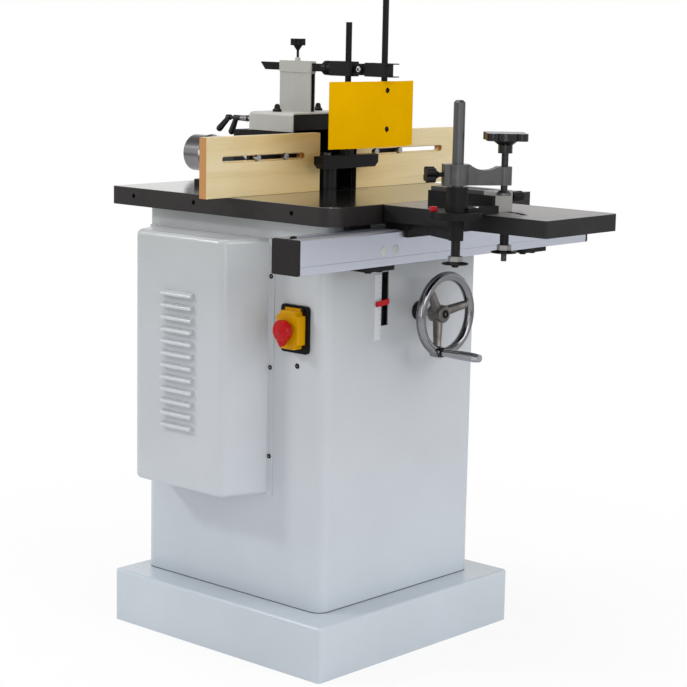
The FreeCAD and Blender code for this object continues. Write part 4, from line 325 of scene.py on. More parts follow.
streak_group, given = new_effect("drawn streaks", [("Along", "NodeSocketVector")])
spot = place_of(streak_group)
stretched = vector_sum(streak_group, "MULTIPLY", spot, given["Along"])
lines = add(streak_group, "ShaderNodeTexNoise", Vector=stretched, Scale=1.0, Detail=8.0, Roughness=0.7)
stain = add(streak_group, "ShaderNodeTexNoise", Vector=spot, Scale=9.0, Detail=4.0, Roughness=0.6)
stain_part = calculated(streak_group, "MULTIPLY", stain.outputs["Fac"], 0.4)
streaks = calculated(streak_group, "MULTIPLY_ADD", lines.outputs["Fac"], 0.6, stain_part)
close_effect(streak_group, given, streaks, lines.outputs["Fac"], shade_first=False)

ground_depth = 0.0006
table_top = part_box("table")[1].z
ground_iron = new_finish("ground iron and charcoal edge", tone(150, 148, 146), 0.2, 1.0, shine=0.3)
edge_paint = use_effect(ground_iron, coat_group, Colour=tone(40, 36, 35), Shade=tone(28, 26, 25),
                        Drift=14.0, Peel=700.0, Gloss=0.38, Dull=0.55)
ground = use_effect(ground_iron, streak_group, Colour=tone(176, 174, 172), Shade=tone(150, 148, 147),
                    Along=(6.0, 420.0, 60.0), Gloss=0.1, Dull=0.2)
on_top = above(ground_iron, "Z", table_top - ground_depth, 0.0002)
blend_effects(ground_iron, on_top, edge_paint, ground, 0.0, 1.0, 0.05)
dress(ground_iron, "table")

ring_iron = coated("turned ring iron", tone(150, 148, 146), 0.22, streak_group, 0.05, 0.0003, 1.0,
                   Colour=tone(172, 170, 168), Shade=tone(140, 138, 137), Along=(90.0, 90.0, 500.0),
                   Gloss=0.12, Dull=0.26)
dress(ring_iron, "insert_rings")


# Guide rail with its end caps and brackets: an anodised aluminium extrusion along the table's front,
# plastic caps with a pebbled face on its ends, and black cast brackets that bolt it to the table.

rail_skin = coated("anodised rail", tone(190, 192, 204), 0.4, streak_group, 0.06, 0.0003, 1.0,
                   Colour=tone(206, 210, 222), Shade=tone(191, 195, 207), Along=(4.0, 500.0, 500.0),
                   Gloss=0.34, Dull=0.46)
dress(rail_skin, "guide_rail")

cap_plastic = coated("pebbled cap plastic", tone(30, 27, 27), 0.6, grain_group, 0.5, 0.0006, shine=0.25,
                     Colour=tone(14, 12, 12), Shade=tone(33, 28, 27), Grain=420.0, Gloss=0.5, Dull=0.7)
dress(cap_plastic, "rail_end_caps")

black_casting = coated("black painted casting", tone(18, 18, 19), 0.45, coat_group, 0.35, 0.0005, shine=0.15,
                       Colour=tone(24, 23, 24), Shade=tone(13, 13, 14), Drift=30.0, Peel=320.0, Gloss=0.36, Dull=0.55)
dress(black_casting, "rail_brackets", "slide_carriage", "fence_hood", "shaft_bush")


def break_edges(piece, width, segments=1):
    """Takes off the piece's sharp edges."""
    edge = piece.modifiers.new("edge", "BEVEL")
    edge.width = width
    edge.segments = segments
    bpy.ops.object.modifier_apply(modifier="edge")


def hex_bolt(name, across, height, place, facing, washer):
    """Hexagon-headed bolt with a rounded crown and a washer under it."""
    bolt = new_round(name, 6, across / math.sqrt(3), height)
    bpy.ops.object.mode_set(mode="EDIT")
    select_faces(bolt, faces_up)
    bpy.ops.mesh.inset(thickness=across * 0.1)
    bpy.ops.transform.translate(value=(0, 0, height * 0.14))
    bpy.ops.object.mode_set(mode="OBJECT")
    break_edges(bolt, across * 0.03, 2)
    bpy.ops.mesh.primitive_cylinder_add(vertices=32, radius=washer / 2, depth=height * 0.3,
                                        location=(0, 0, height * 0.15))
    break_edges(bpy.context.object, height * 0.08)
    bolt.select_set(True)
    bpy.context.view_layer.objects.active = bolt
    bpy.ops.object.join()
    bpy.ops.object.shade_smooth_by_angle(angle=math.radians(30))
    set_in_place(bolt, place, facing)
    return bolt


bracket_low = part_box("rail_brackets")[0]
bracket_bolt_line = -0.271
bracket_bolts = (("left", (-0.160, -0.130)), ("right", (0.301, 0.331)))
for side, xs in bracket_bolts:
    for row, x in enumerate(xs):
        bolt_place = (x, bracket_bolt_line, bracket_low.z)
        bolt = hex_bolt(f"bracket_bolt_{side}_{row}", 0.013, 0.009, bolt_place, (0, 0, -1), washer=0.018)
        bolt.data.materials.append(screw_black)
        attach(bolt, "machine_frame")

cap_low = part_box("rail_end_caps")[0]
rail_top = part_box("guide_rail")[1].z
cap_bolt_place = (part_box("guide_rail")[0].x + 0.018, cap_low.y + 0.034, rail_top)
cap_bolt = cap_screw("cap_bolt", 0.012, 0.007, 0.006, cap_bolt_place, (0, 0, 1))
cap_bolt.data.materials.append(screw_black)
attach(cap_bolt, "machine_frame")


# Rail plugs: two domed cream plastic plugs that close the fixing holes in the rail's front face.
# Each is pressed into its hole and stands three millimetres proud.

plug_plastic = coated("cream plug plastic", tone(190, 190, 192), 0.4, grain_group, 0.05, 0.0002,
                      Colour=tone(196, 196, 197), Shade=tone(184, 184, 186), Grain=800.0, Gloss=0.3, Dull=0.45)
rail_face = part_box("guide_rail")[0].y
plug_level, plug_places = 0.783, (-0.154, -0.121)
plug_radius, plug_stand, plug_dome = 0.0085, 0.003, 0.0016
for row, x in enumerate(plug_places):
    plug = new_round(f"rail_plug_{row}", 40, plug_radius, plug_stand)
    bpy.ops.object.mode_set(mode="EDIT")
    select_faces(plug, faces_up)
    bpy.ops.mesh.bevel(offset=plug_dome, segments=4, affect="EDGES")
    bpy.ops.object.mode_set(mode="OBJECT")
    bpy.ops.object.shade_smooth_by_angle(angle=math.radians(40))
    set_in_place(plug, (x, rail_face, plug_level), (0, -1, 0))
    plug.data.materials.append(plug_plastic)
    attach(plug, "machine_frame")


# Switch: a black moulded plate with a yellow hinged lid, a red mushroom stop button on the lid and a green
# start key under it. All are glossy mouldings with a fine spark-eroded grain.

def moulded(name, colour, shade, grain, gloss, dull, depth, shine=0.3):
    """Moulded plastic finish."""
    return coated(name, colour, gloss, grain_group, depth, 0.0002, shine=shine,
                  Colour=colour, Shade=shade, Grain=grain, Gloss=gloss, Dull=dull)


switch_black = moulded("switch black plastic", tone(12, 10, 13), tone(22, 20, 23), 900.0, 0.34, 0.48, 0.1, 0.1)
dress(switch_black, "switch_box")
lid_yellow = moulded("switch yellow plastic", tone(204, 149, 0), tone(190, 136, 0), 900.0, 0.24, 0.36, 0.06, 0.1)
dress(lid_yellow, "switch_lid")
stop_red = moulded("stop button red plastic", tone(175, 7, 15), tone(162, 5, 12), 900.0, 0.22, 0.34, 0.05, 0.2)
dress(stop_red, "stop_button")
start_green = moulded("start key green plastic", tone(30, 140, 70), tone(24, 122, 60), 900.0, 0.24, 0.36, 0.06)
dress(start_green, "start_button")


# Height scale: a thin aluminium strip with engraved marks beside the slot in the cabinet's front,
# read against the red pointer that moves with the spindle.

def marks(tree, pitch, width, left, right):
    """Mask of cross marks at a pitch along Z, between two places along X."""
    across = place_of(tree, "X")
    thin = calculated(tree, "LESS_THAN", calculated(tree, "MODULO", place_of(tree, "Z"), pitch), width)
    span = calculated(tree, "MULTIPLY", calculated(tree, "GREATER_THAN", across, left),
                      calculated(tree, "LESS_THAN", across, right))
    return calculated(tree, "MULTIPLY", thin, span)


strip_colour = tone(203, 206, 211)
marks_end = -0.063
scale_metal = new_finish("engraved scale strip", strip_colour, 0.4, shine=0.3)
tree = scale_metal.node_tree
fine = marks(tree, 0.002, 0.0004, -0.066, marks_end)
coarse = marks(tree, 0.010, 0.0005, -0.071, marks_end)
ink = mixed(tree, calculated(tree, "MAXIMUM", fine, coarse), strip_colour, tone(128, 129, 132))
lead(tree, ink, tree.nodes["Principled BSDF"].inputs["Base Color"])

panel_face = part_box("cabinet")[0].y
strip_width, strip_thickness, strip_length = 0.019, 0.0008, 0.123
bpy.ops.object.select_all(action="DESELECT")
bpy.ops.mesh.primitive_cube_add(size=1, location=(-0.0725, panel_face - strip_thickness / 2, 0.6635))
strip = bpy.context.object
strip.name = "height_scale"
strip.scale = (strip_width, strip_thickness, strip_length)
bpy.ops.object.transform_apply(location=True, rotation=True, scale=True)
break_edges(strip, 0.0003, 2)
strip.data.materials.append(scale_metal)
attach(strip, "machine_frame")

pointer_red = new_finish("pointer red enamel", tone(190, 16, 30), 0.35, shine=0.3)
flag_red = use_effect(pointer_red, grain_group, Colour=tone(196, 14, 30), Shade=tone(182, 12, 26),
                      Grain=600.0, Gloss=0.28, Dull=0.42)
stalk_black = use_effect(pointer_red, grain_group, Colour=tone(14, 14, 15), Shade=tone(30, 30, 31),
                         Grain=900.0, Gloss=0.4, Dull=0.6)
blend_effects(pointer_red, above(pointer_red, "Y", panel_face, 0.0006), flag_red, stalk_black, 0.0, 0.0, 0.05)
dress(pointer_red, "scale_pointer")


# Handwheel with its shaft and crank handle: a cast wheel whose rim is turned and polished, with plain cast
# spokes and hub, held by a socket screw. The polished steel handle turns on its pin and has a black ring at its root.

wheel_axis = (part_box("handwheel")[0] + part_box("handwheel")[1]) / 2
rim_inside, rim_bright = 0.0605, 0.0635
wheel_metal = new_finish("polished rim and cast spokes", tone(180, 180, 180), 0.15, 1.0)
tree = wheel_metal.node_tree
from_axis = vector_sum(tree, "SUBTRACT", place_of(tree), (wheel_axis.x, 0.0, wheel_axis.z))
in_wheel_plane = vector_sum(tree, "MULTIPLY", from_axis, (1.0, 0.0, 1.0))
rim_mask = stepped(tree, vector_sum(tree, "LENGTH", in_wheel_plane), rim_inside, rim_bright)
cast = use_effect(wheel_metal, coat_group, Colour=tone(128, 124, 120), Shade=tone(92, 88, 86),
                  Drift=40.0, Peel=500.0, Gloss=0.36, Dull=0.5)
polish = use_effect(wheel_metal, streak_group, Colour=tone(152, 152, 155), Shade=tone(106, 106, 110),
                    Along=(160.0, 30.0, 160.0), Gloss=0.06, Dull=0.18)
blend_effects(wheel_metal, rim_mask, cast, polish, 0.85, 1.0, 0.08)
dress(wheel_metal, "handwheel")

polished_steel = coated("polished steel", tone(196, 196, 198), 0.15, streak_group, 0.05, 0.0002, 1.0,
                        Colour=tone(188, 188, 190), Shade=tone(160, 160, 163), Along=(300.0, 20.0, 300.0),
                        Gloss=0.1, Dull=0.22)
dress(polished_steel, "crank_handle")

hub_face = (wheel_axis.x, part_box("handwheel_shaft")[0].y, wheel_axis.z)
hub_screw = cap_screw("hub_screw", 0.016, 0.005, 0.008, hub_face, (0, -1, 0))
hub_screw.data.materials.append(screw_black)
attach(hub_screw, "handwheel")

handle_low, handle_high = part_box("crank_handle")
handle_axis = (handle_low + handle_high) / 2
ring_width = 0.004
bpy.ops.object.select_all(action="DESELECT")
bpy.ops.mesh.primitive_cylinder_add(
    vertices=40, radius=0.0072, depth=ring_width, end_fill_type="NOTHING",
    location=(handle_axis.x, handle_high.y - ring_width, handle_axis.z), rotation=(math.pi / 2, 0, 0))
root_ring = bpy.context.object
root_ring.name = "handle_root_ring"
wall = root_ring.modifiers.new("wall", "SOLIDIFY")
wall.thickness = 0.0016
wall.offset = 1.0
bpy.ops.object.modifier_apply(modifier="wall")
break_edges(root_ring, 0.0005, 2)
bpy.ops.object.transform_apply(location=True, rotation=True, scale=True)
bpy.ops.object.shade_smooth_by_angle(angle=math.radians(35))
root_ring.data.materials.append(screw_black)
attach(root_ring, "crank_handle")


# Lift, motor and belt drive inside the cabinet: turned steel with cut threads, machined castings, an enamelled
# motor, flanged aluminium pulleys and a flat rubber belt.

turned_steel = coated("turned steel", tone(176, 176, 178), 0.28, streak_group, 0.12, 0.0003, 1.0,
                      Colour=tone(186, 186, 188), Shade=tone(150, 150, 152), Along=(60.0, 60.0, 900.0),
                      Gloss=0.2, Dull=0.36)
dress(turned_steel, "handwheel_shaft", "quill", "spindle_bearings", "board_bolts")

# Cut thread: its roots are painted darker than its crests, painted shade in the grooves, and the same bands give its
# relief.
thread_group, given = new_effect("cut thread", [("Turns", "NodeSocketFloat")])
turns = add(thread_group, "ShaderNodeTexWave", Vector=place_of(thread_group), Scale=given["Turns"],
            Distortion=0.15, Detail=1.0)
turns.bands_direction = "Z"
close_effect(thread_group, given, turns.outputs["Fac"], turns.outputs["Fac"], shade_first=True)
thread_gloss = {"Gloss": 0.25, "Dull": 0.45}
coarse_turns, fine_turns = 105.0, 157.0

screw_steel = coated("lift screw steel", tone(150, 150, 152), 0.3, thread_group, 0.6, 0.001, 1.0,
                     Colour=tone(182, 182, 184), Shade=tone(92, 90, 88), Turns=coarse_turns, **thread_gloss)
dress(screw_steel, "lift_screw")

spindle_steel = new_finish("spindle steel", tone(176, 176, 178), 0.25, 1.0)
spindle_body = use_effect(spindle_steel, streak_group, Colour=tone(186, 186, 188), Shade=tone(150, 150, 152),
                          Along=(60.0, 60.0, 900.0), Gloss=0.18, Dull=0.32)
spindle_thread = use_effect(spindle_steel, thread_group, Colour=tone(150, 150, 152), Shade=tone(70, 69, 68),
                            Turns=fine_turns, **thread_gloss)
past_nut = above(spindle_steel, "Z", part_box("spindle_nut")[0].z, 0.0005)
blend_effects(spindle_steel, past_nut, spindle_body, spindle_thread, 1.0, 1.0, 0.4, distance=0.0008)
dress(spindle_steel, "spindle")

oxide_black = coated("black oxide steel", tone(26, 25, 26), 0.34, streak_group, 0.08, 0.0003, 0.4, 0.2,
                     Colour=tone(34, 33, 34), Shade=tone(18, 17, 18), Along=(70.0, 70.0, 700.0),
                     Gloss=0.26, Dull=0.42)
dress(oxide_black, "spacer_rings", "spindle_nut")

raw_iron = coated("machined casting", tone(120, 118, 116), 0.5, coat_group, 0.4, 0.0006, 0.6,
                  Colour=tone(128, 126, 124), Shade=tone(98, 96, 95), Drift=24.0, Peel=260.0, Gloss=0.42, Dull=0.65)
dress(raw_iron, "quill_bracket", "motor_plate")

motor_paint = coated("motor enamel", tone(88, 98, 106), 0.4, coat_group, 0.25, 0.0005,
                     Colour=tone(92, 102, 110), Shade=tone(76, 85, 92), Drift=18.0, Peel=350.0, Gloss=0.34, Dull=0.5)
dress(motor_paint, "motor")

pulley_metal = coated("turned aluminium", tone(196, 197, 199), 0.3, streak_group, 0.1, 0.0003, 1.0,
                      Colour=tone(204, 205, 207), Shade=tone(178, 179, 182), Along=(50.0, 50.0, 700.0),
                      Gloss=0.22, Dull=0.38)
dress(pulley_metal, "motor_pulley", "spindle_pulley")

belt_rubber = moulded("belt rubber", tone(26, 26, 27), tone(38, 38, 38), 700.0, 0.55, 0.75, 0.3)
dress(belt_rubber, "drive_belt")


# Fence: a black cast body with hood, a grey painted sheet lid held by two hand nuts, a grey post whose open channel
# is painted dark as painted shade, black hand knobs, an adjuster with a steel rod, a rolled steel suction pipe with a
# black inner end, and two lacquered birch plywood boards that slide on bolts.

hood_grey = coated("hood grey enamel", tone(182, 181, 177), 0.4, coat_group, 0.1, shine=0.3,
                   Colour=tone(187, 186, 181), Shade=tone(177, 176, 171), Drift=10.0, Peel=450.0,
                   Gloss=0.34, Dull=0.48)
dress(hood_grey, "hood_lid")


def between(finish, axis, low, high, softness):
    """Mask that is 1 between two places along one of the piece's axes."""
    tree = finish.node_tree
    away = calculated(tree, "SUBTRACT", place_of(tree, axis), (low + high) / 2)
    half = (high - low) / 2
    return stepped(tree, calculated(tree, "ABSOLUTE", away), half + softness, half - softness)


def both(finish, first, second):
    """Mask that is 1 where two masks are."""
    return calculated(finish.node_tree, "MULTIPLY", first, second)


post_low, post_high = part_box("guard_post")
post_middle = (post_low + post_high) / 2
channel_half, channel_foot, channel_top = 0.0046, 0.001, 0.0748
post_paint = new_finish("post grey enamel with dark channel", tone(182, 181, 177), 0.4, shine=0.3)
post_coat = use_effect(post_paint, coat_group, Colour=tone(178, 177, 172), Shade=tone(168, 167, 162),
                       Drift=10.0, Peel=450.0, Gloss=0.34, Dull=0.48)
# Painted shade: the inside of the post's open channel, below its cap, is painted dark grey.
channel_painted_shade = use_effect(post_paint, coat_group, Colour=tone(58, 57, 56), Shade=tone(44, 43, 43),
                          Drift=20.0, Peel=450.0, Gloss=0.4, Dull=0.55)
in_channel = between(post_paint, "X", post_middle.x - channel_half, post_middle.x + channel_half, 0.0001)
below_cap = between(post_paint, "Z", post_low.z + channel_foot, post_low.z + channel_top, 0.0001)
blend_effects(post_paint, both(post_paint, in_channel, below_cap), post_coat, channel_painted_shade, 0.0, 0.0, 0.1)
dress(post_paint, "guard_post")

knob_black = moulded("knob black plastic", tone(12, 12, 13), tone(24, 24, 25), 1000.0, 0.3, 0.46, 0.12, 0.15)
dress(knob_black, "lid_knobs", "left_lock_knob", "right_lock_knob", "bar_lock_knob", "fence_knob", "wing_knob",
      "pressure_shoe")

adjuster_rod = 0.048
adjuster_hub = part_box("adjuster_knob")[0].y + adjuster_rod
adjuster_finish = new_finish("adjuster rod and claw", tone(16, 16, 17), 0.35, shine=0.3)
rod_part = use_effect(adjuster_finish, streak_group, Colour=tone(150, 149, 147), Shade=tone(104, 103, 102),
                      Along=(90.0, 500.0, 90.0), Gloss=0.26, Dull=0.42)
claw_part = use_effect(adjuster_finish, grain_group, Colour=tone(12, 12, 13), Shade=tone(24, 24, 25),
                       Grain=1000.0, Gloss=0.3, Dull=0.46)
blend_effects(adjuster_finish, above(adjuster_finish, "Y", adjuster_hub, 0.0003), rod_part, claw_part, 0.9, 0.0, 0.1)
dress(adjuster_finish, "adjuster_knob")

# The pipe's first 84 mm, where it meets the hood, is coloured near black.
pipe_root = 0.084
pipe_steel = new_finish("rolled pipe steel", tone(150, 150, 154), 0.32, 1.0)
pipe_dark_end = use_effect(pipe_steel, coat_group, Colour=tone(22, 21, 21), Shade=tone(13, 13, 13),
                        Drift=20.0, Peel=500.0, Gloss=0.36, Dull=0.5)
rolled = use_effect(pipe_steel, streak_group, Colour=tone(158, 155, 158), Shade=tone(88, 86, 90),
                    Along=(6.0, 420.0, 6.0), Gloss=0.12, Dull=0.26)
past_root = above(pipe_steel, "Y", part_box("dust_port")[0].y + pipe_root, 0.0004)
blend_effects(pipe_steel, past_root, pipe_dark_end, rolled, 0.0, 1.0, 0.1, distance=0.0003)
dress(pipe_steel, "dust_port")

board_wood = new_finish("lacquered birch", tone(214, 190, 142), 0.35)
tree = board_wood.node_tree
spot = place_of(tree)
figure_pull, fibre_pull = (2.2, 30.0, 34.0), (14.0, 500.0, 520.0)
warp = add(tree, "ShaderNodeTexNoise", Vector=vector_sum(tree, "MULTIPLY", spot, figure_pull),
           Scale=1.0, Detail=6.0, Roughness=0.62, Distortion=0.7)
fibre = add(tree, "ShaderNodeTexNoise", Vector=vector_sum(tree, "MULTIPLY", spot, fibre_pull),
            Scale=1.0, Detail=4.0, Roughness=0.7)
figure = ramped(tree, warp.outputs["Fac"],
                ((0.3, tone(215, 194, 146)), (0.5, tone(222, 203, 158)), (0.72, tone(228, 211, 170))))
pore_tone = stepped(tree, fibre.outputs["Fac"], 0.25, 0.6, To_Min=0.9, To_Max=1.0)
face_grain = mixed(tree, 1.0, figure, pore_tone, blend="MULTIPLY")

ply = add(tree, "ShaderNodeTexWave", Vector=spot, Scale=115.0, Distortion=1.2, Detail=2.0)
ply.bands_direction = "Y"
end_grain = mixed(tree, ply.outputs["Fac"], tone(172, 117, 60), tone(194, 140, 76))
end_mask = stepped(tree, calculated(tree, "ABSOLUTE", place_of(tree, "X", "Normal")), 0.5, 0.8)
grain_or_end = mixed(tree, end_mask, face_grain, end_grain)

left_end, right_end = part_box("left_board")[1].x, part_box("right_board")[0].x
# The boards' inner end faces, towards the cutter, are coloured near black.
inner_end_depth = 0.0004
inner_ends = between(board_wood, "X", left_end - inner_end_depth, right_end + inner_end_depth, 0.0001)
dark_inner_ends = mixed(tree, inner_ends, grain_or_end, tone(22, 20, 19))
# Towards the cutter both boards are tinted golden and darker: partly the wood's own golden tone, partly painted shade
# from the guard.
gold_left, gold_right, gold_fade = 0.09, 0.04, 0.17
golden = between(board_wood, "X", left_end - gold_left, right_end + gold_right, gold_fade)
golden_tone_and_shade = mixed(tree, golden, dark_inner_ends, (1.0, 0.84, 0.46, 1), blend="MULTIPLY")
fill(tree, tree.nodes["Principled BSDF"], {"Base Color": golden_tone_and_shade, "Coat Weight": 0.3, "Coat Roughness": 0.25})
raise_surface(tree, fibre.outputs["Fac"], 0.06, 0.0004)
dress(board_wood, "left_board", "right_board")


# Guard: black clamps on a blackened bar, joined by a bright link bolt, two round rods, a dark pressure shoe and
# a bent sheet guard in yellow enamel, held to its rod by two black screws from the front.

dress(black_casting, "rear_clamp", "front_clamp")
black_bar = coated("blackened bar", tone(26, 25, 26), 0.35, streak_group, 0.06, 0.0003, 0.5, 0.15,
                   Colour=tone(34, 33, 34), Shade=tone(18, 17, 18), Along=(300.0, 300.0, 12.0), Gloss=0.28, Dull=0.45)
dress(black_bar, "guard_bar", "shoe_rod", "guard_rod")

guard_enamel = coated("guard yellow enamel", tone(221, 166, 0), 0.5, coat_group, 0.08, shine=0.0,
                      Colour=tone(225, 171, 2), Shade=tone(217, 162, 0), Drift=9.0, Peel=520.0, Gloss=0.42, Dull=0.56)
dress(guard_enamel, "guard_plate")

guard_low, guard_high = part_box("guard_plate")
rod_low, rod_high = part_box("guard_rod")
rod_x = (rod_low.x + rod_high.x) / 2
guard_screw_drops = (0.017, 0.090)
for row, drop in enumerate(guard_screw_drops):
    screw_place = (rod_x, guard_low.y, guard_high.z - drop)
    screw = cap_screw(f"guard_screw_{row}", 0.0105, 0.003, 0.004, screw_place, (0, -1, 0))
    screw.data.materials.append(screw_black)
    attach(screw, "guard")

link_steel = coated("link bolt steel", tone(190, 190, 190), 0.25, streak_group, 0.08, 0.0002, 1.0,
                    Colour=tone(206, 206, 206), Shade=tone(168, 168, 168), Along=(500.0, 60.0, 60.0),
                    Gloss=0.18, Dull=0.3)
fork_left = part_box("front_clamp")[0].x
fork_hinge = -0.073
bar_level = (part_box("guard_bar")[0].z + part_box("guard_bar")[1].z) / 2
link_bolt = cap_screw("link_bolt", 0.011, 0.004, 0.005, (fork_left, fork_hinge, bar_level), (-1, 0, 0))
link_bolt.data.materials.append(link_steel)
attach(link_bolt, "guard_arm")


# Sliding table, mitre fence and work clamp: a cast table like the main one, a black swivel base with a red
# pointer and a bright screw, an extruded fence with a pale end block, a drawn steel column, a dark cast clamp
# arm with its threaded screw, and turned lock nuts on dark flanges.

slide_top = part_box("slide_table")[1].z
slide_iron = new_finish("slide iron and charcoal edge", tone(140, 138, 137), 0.4, 0.8, shine=0.3)
slide_edge = use_effect(slide_iron, coat_group, Colour=tone(24, 22, 22), Shade=tone(16, 15, 15),
                        Drift=14.0, Peel=700.0, Gloss=0.4, Dull=0.56)
slide_ground = use_effect(slide_iron, streak_group, Colour=tone(176, 173, 172), Shade=tone(116, 114, 113),
                          Along=(260.0, 50.0, 60.0), Gloss=0.28, Dull=0.44)
blend_effects(slide_iron, above(slide_iron, "Z", slide_top - ground_depth, 0.0002), slide_edge, slide_ground,
              0.0, 0.9, 0.12)
dress(slide_iron, "slide_table")

dress(black_casting, "mitre_base")
fence_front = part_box("mitre_fence")[0].y
end_block_length = 0.026
fence_metal = new_finish("extruded fence with pale end block", tone(90, 89, 89), 0.4, 0.7, shine=0.3)
pressed = use_effect(fence_metal, streak_group, Colour=tone(80, 79, 79), Shade=tone(58, 57, 57),
                     Along=(500.0, 5.0, 500.0), Gloss=0.34, Dull=0.5)
milled = use_effect(fence_metal, streak_group, Colour=tone(172, 171, 168), Shade=tone(150, 149, 146),
                    Along=(300.0, 300.0, 8.0), Gloss=0.36, Dull=0.52)
end_block = both(fence_metal, between(fence_metal, "Y", fence_front - 0.001, fence_front + end_block_length, 0.0002),
                 above(fence_metal, "Z", slide_top, 0.0002))
blend_effects(fence_metal, end_block, pressed, milled, 0.7, 0.7, 0.06, distance=0.0003)
dress(fence_metal, "mitre_fence")

lock_steel = coated("lock nut steel", tone(120, 120, 122), 0.3, streak_group, 0.1, 0.0003, 1.0,
                    Colour=tone(132, 132, 134), Shade=tone(70, 70, 72), Along=(80.0, 80.0, 500.0),
                    Gloss=0.2, Dull=0.42)
dress(lock_steel, "clamp_pad")
nut_foot, nut_top = 0.005, 0.014
for lock in ("pivot_lock", "front_lock"):
    lock_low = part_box(lock)[0].z
    lock_finish = new_finish(f"{lock} nut and flange", tone(30, 30, 31), 0.35, 0.5, shine=0.3)
    dark_part = use_effect(lock_finish, streak_group, Colour=tone(34, 33, 34), Shade=tone(16, 16, 17),
                           Along=(70.0, 70.0, 600.0), Gloss=0.28, Dull=0.45)
    nut_part = use_effect(lock_finish, streak_group, Colour=tone(176, 175, 173), Shade=tone(128, 127, 126),
                          Along=(80.0, 80.0, 500.0), Gloss=0.2, Dull=0.4)
    on_nut = between(lock_finish, "Z", lock_low + nut_foot, lock_low + nut_top, 0.0002)
    blend_effects(lock_finish, on_nut, dark_part, nut_part, 0.5, 1.0, 0.1)
    dress(lock_finish, lock)

column_steel = coated("drawn column steel", tone(84, 84, 85), 0.36, streak_group, 0.06, 0.0003, 0.9,
                      Colour=tone(102, 102, 103), Shade=tone(70, 70, 71), Along=(220.0, 220.0, 8.0),
                      Gloss=0.3, Dull=0.44)
dress(column_steel, "clamp_column")

arm_casting = coated("clamp arm casting", tone(76, 75, 75), 0.36, coat_group, 0.3, 0.0005, 0.4,
                     Colour=tone(86, 85, 85), Shade=tone(66, 65, 66), Drift=36.0, Peel=300.0, Gloss=0.28, Dull=0.44)
dress(arm_casting, "clamp_arm")

knob_foot = 0.967
clamp_knob_finish = new_finish("clamp knob and screw", tone(14, 14, 15), 0.22, shine=0.4)
knob_part = use_effect(clamp_knob_finish, grain_group, Colour=tone(10, 10, 11), Shade=tone(20, 20, 21),
                       Grain=900.0, Gloss=0.18, Dull=0.26)
screw_part = use_effect(clamp_knob_finish, thread_group, Colour=tone(72, 71, 71), Shade=tone(8, 8, 9),
                        Turns=fine_turns, **thread_gloss)
on_knob = above(clamp_knob_finish, "Z", knob_foot, 0.0005)
blend_effects(clamp_knob_finish, on_knob, screw_part, knob_part, 0.8, 0.0, 0.15)
dress(clamp_knob_finish, "clamp_screw")

disc_top, boss_top = 0.8665, 0.8735
pointer_length, pointer_width, pointer_height = 0.013, 0.010, 0.008
bpy.ops.object.select_all(action="DESELECT")
bpy.ops.mesh.primitive_cube_add(size=1, location=(0, 0, pointer_height / 2))
mitre_pointer = bpy.context.object
mitre_pointer.name = "mitre_pointer"
mitre_pointer.scale = (pointer_length, pointer_width, pointer_height)
bpy.ops.object.transform_apply(location=True, rotation=True, scale=True)
bpy.ops.object.mode_set(mode="EDIT")
select_faces(mitre_pointer, lambda face: face.normal.x < -0.9)
bpy.ops.transform.resize(value=(1, 0.35, 1))
bpy.ops.object.mode_set(mode="OBJECT")
break_edges(mitre_pointer, 0.0008, 3)
bpy.ops.object.shade_smooth_by_angle(angle=math.radians(40))
mitre_pointer.rotation_euler = (0, 0, math.radians(-45))
mitre_pointer.location = (-0.182, -0.437, disc_top)
bpy.ops.object.transform_apply(location=True, rotation=True, scale=True)
mitre_red = moulded("mitre pointer red", tone(172, 14, 26), tone(156, 11, 22), 700.0, 0.28, 0.42, 0.05, 0.2)
mitre_pointer.data.materials.append(mitre_red)
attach(mitre_pointer, "mitre")
disc_screw = cap_screw("disc_screw", 0.011, 0.004, 0.005, (-0.127, -0.486, boss_top), (0, 0, 1))
disc_screw.data.materials.append(link_steel)
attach(disc_screw, "mitre")


# Studio: a plain pale floor with a faint shadow round the foot, a pale surround that is darker overhead in
# reflections, four soft lamps and a camera where the photograph was taken from.

white = (1, 1, 1, 1)
bpy.ops.object.select_all(action="DESELECT")
bpy.ops.mesh.primitive_plane_add(size=30, location=(0, 0, 0))
floor = bpy.context.object
floor.name = "studio_floor"
floor_paper = new_finish("floor paper", (0.86, 0.86, 0.86, 1), 0.9, shine=0.0)
tree = floor_paper.node_tree
paper = tree.nodes["Principled BSDF"]
glow = add(tree, "ShaderNodeEmission", Color=white)
path = tree.nodes.new("ShaderNodeLightPath").outputs
shadow_reach, shadow_end, shadow_cover = 0.45, 1.5, 0.86
fade = stepped(tree, vector_sum(tree, "LENGTH", place_of(tree)), shadow_reach, shadow_end,
               To_Min=shadow_cover, To_Max=1.0)
share = calculated(tree, "MULTIPLY", path["Is Camera Ray"], fade)
blend = tree.nodes.new("ShaderNodeMixShader")
for socket, source in zip(blend.inputs, (share, paper.outputs[0], glow.outputs[0])):
    lead(tree, source, socket)
lead(tree, blend.outputs[0], tree.nodes["Material Output"].inputs["Surface"])
floor.data.materials.append(floor_paper)

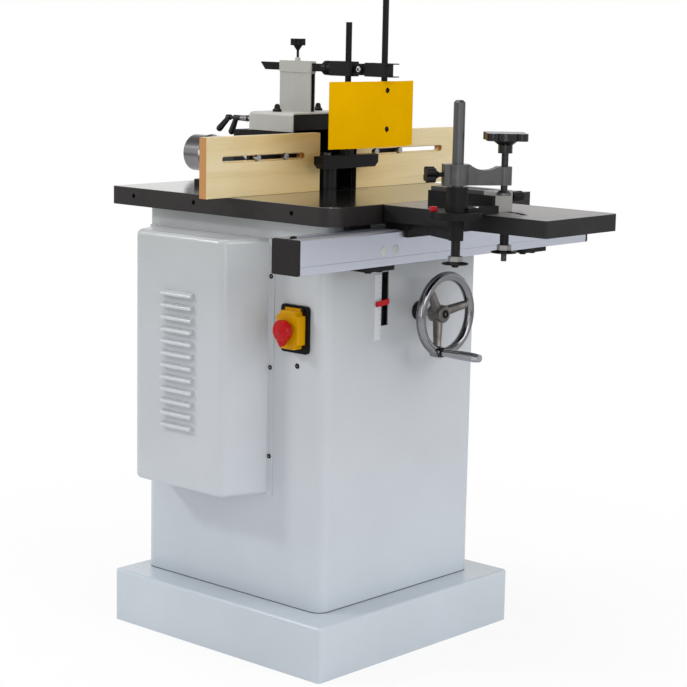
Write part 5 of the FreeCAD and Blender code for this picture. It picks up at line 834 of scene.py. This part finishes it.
world = bpy.data.worlds.new("pale surround")
bpy.context.scene.world = world
world.use_nodes = True
tree = world.node_tree
path = tree.nodes.new("ShaderNodeLightPath").outputs
overhead_shade, surround_light = 0.3, 0.57
overhead = stepped(tree, place_of(tree, "Z", "Generated"), 0.22, 0.7, To_Min=1.0, To_Max=overhead_shade)
seen = calculated(tree, "MAXIMUM", path["Is Camera Ray"], path["Is Transmission Ray"])
seen_or_mirrored = calculated(tree, "MAXIMUM", seen, path["Is Glossy Ray"])
fill(tree, tree.nodes["Background"], {
    "Color": mixed(tree, path["Is Glossy Ray"], white, overhead),
    "Strength": stepped(tree, seen_or_mirrored, 0.0, 1.0, To_Min=surround_light, To_Max=1.0)})


def soft_lamp(name, place, target, width, height, power):
    """Rectangular lamp that faces a target."""
    lamp = bpy.data.lights.new(name, "AREA")
    lamp.shape = "RECTANGLE"
    lamp.size = width
    lamp.size_y = height
    lamp.energy = power
    holder = bpy.data.objects.new(name, lamp)
    bpy.context.scene.collection.objects.link(holder)
    holder.location = place
    holder.rotation_mode = "QUATERNION"
    holder.rotation_quaternion = (Vector(target) - Vector(place)).to_track_quat("-Z", "Y")


soft_lamp("front_lamp", (-0.1, -3.5, 2.6), (0, 0, 0.6), 3.0, 2.6, 67)
soft_lamp("rear_lamp", (-2.4, 2.3, 2.6), (-0.3, 0, 0.5), 0.5, 0.5, 42)
soft_lamp("top_lamp", (-0.2, 0.6, 3.6), (0, 0, 0.8), 1.8, 1.8, 31)
soft_lamp("strip_lamp", (-3.7, -3.4, 1.1), (0, 0, 0.7), 0.4, 2.4, 20)

photo_width, focal_length = 687, 1943.95  # both in the photograph's pixels
eye_place = (-2.76816, -2.5505, 1.18792)
film_width = 36.0
eye = bpy.data.cameras.new("photo_camera")
eye.sensor_fit = "HORIZONTAL"
eye.sensor_width = film_width
eye.lens = focal_length / photo_width * film_width
eye.clip_end = 60.0
camera = bpy.data.objects.new("photo_camera", eye)
bpy.context.scene.collection.objects.link(camera)
heading, pitch, roll = (math.radians(angle) for angle in (48.16, -9.45, 1.12))
forward = Vector((math.sin(heading) * math.cos(pitch), math.cos(heading) * math.cos(pitch), math.sin(pitch)))
level_right = Vector((math.cos(heading), -math.sin(heading), 0))
level_up = level_right.cross(forward)
right = level_right * math.cos(roll) + level_up * math.sin(roll)
up = level_up * math.cos(roll) - level_right * math.sin(roll)
turn = Matrix((right, up, -forward)).transposed()
camera.matrix_world = Matrix.Translation(eye_place) @ turn.to_4x4()
bpy.context.scene.camera = camera
bpy.context.scene.view_settings.view_transform = "Standard"
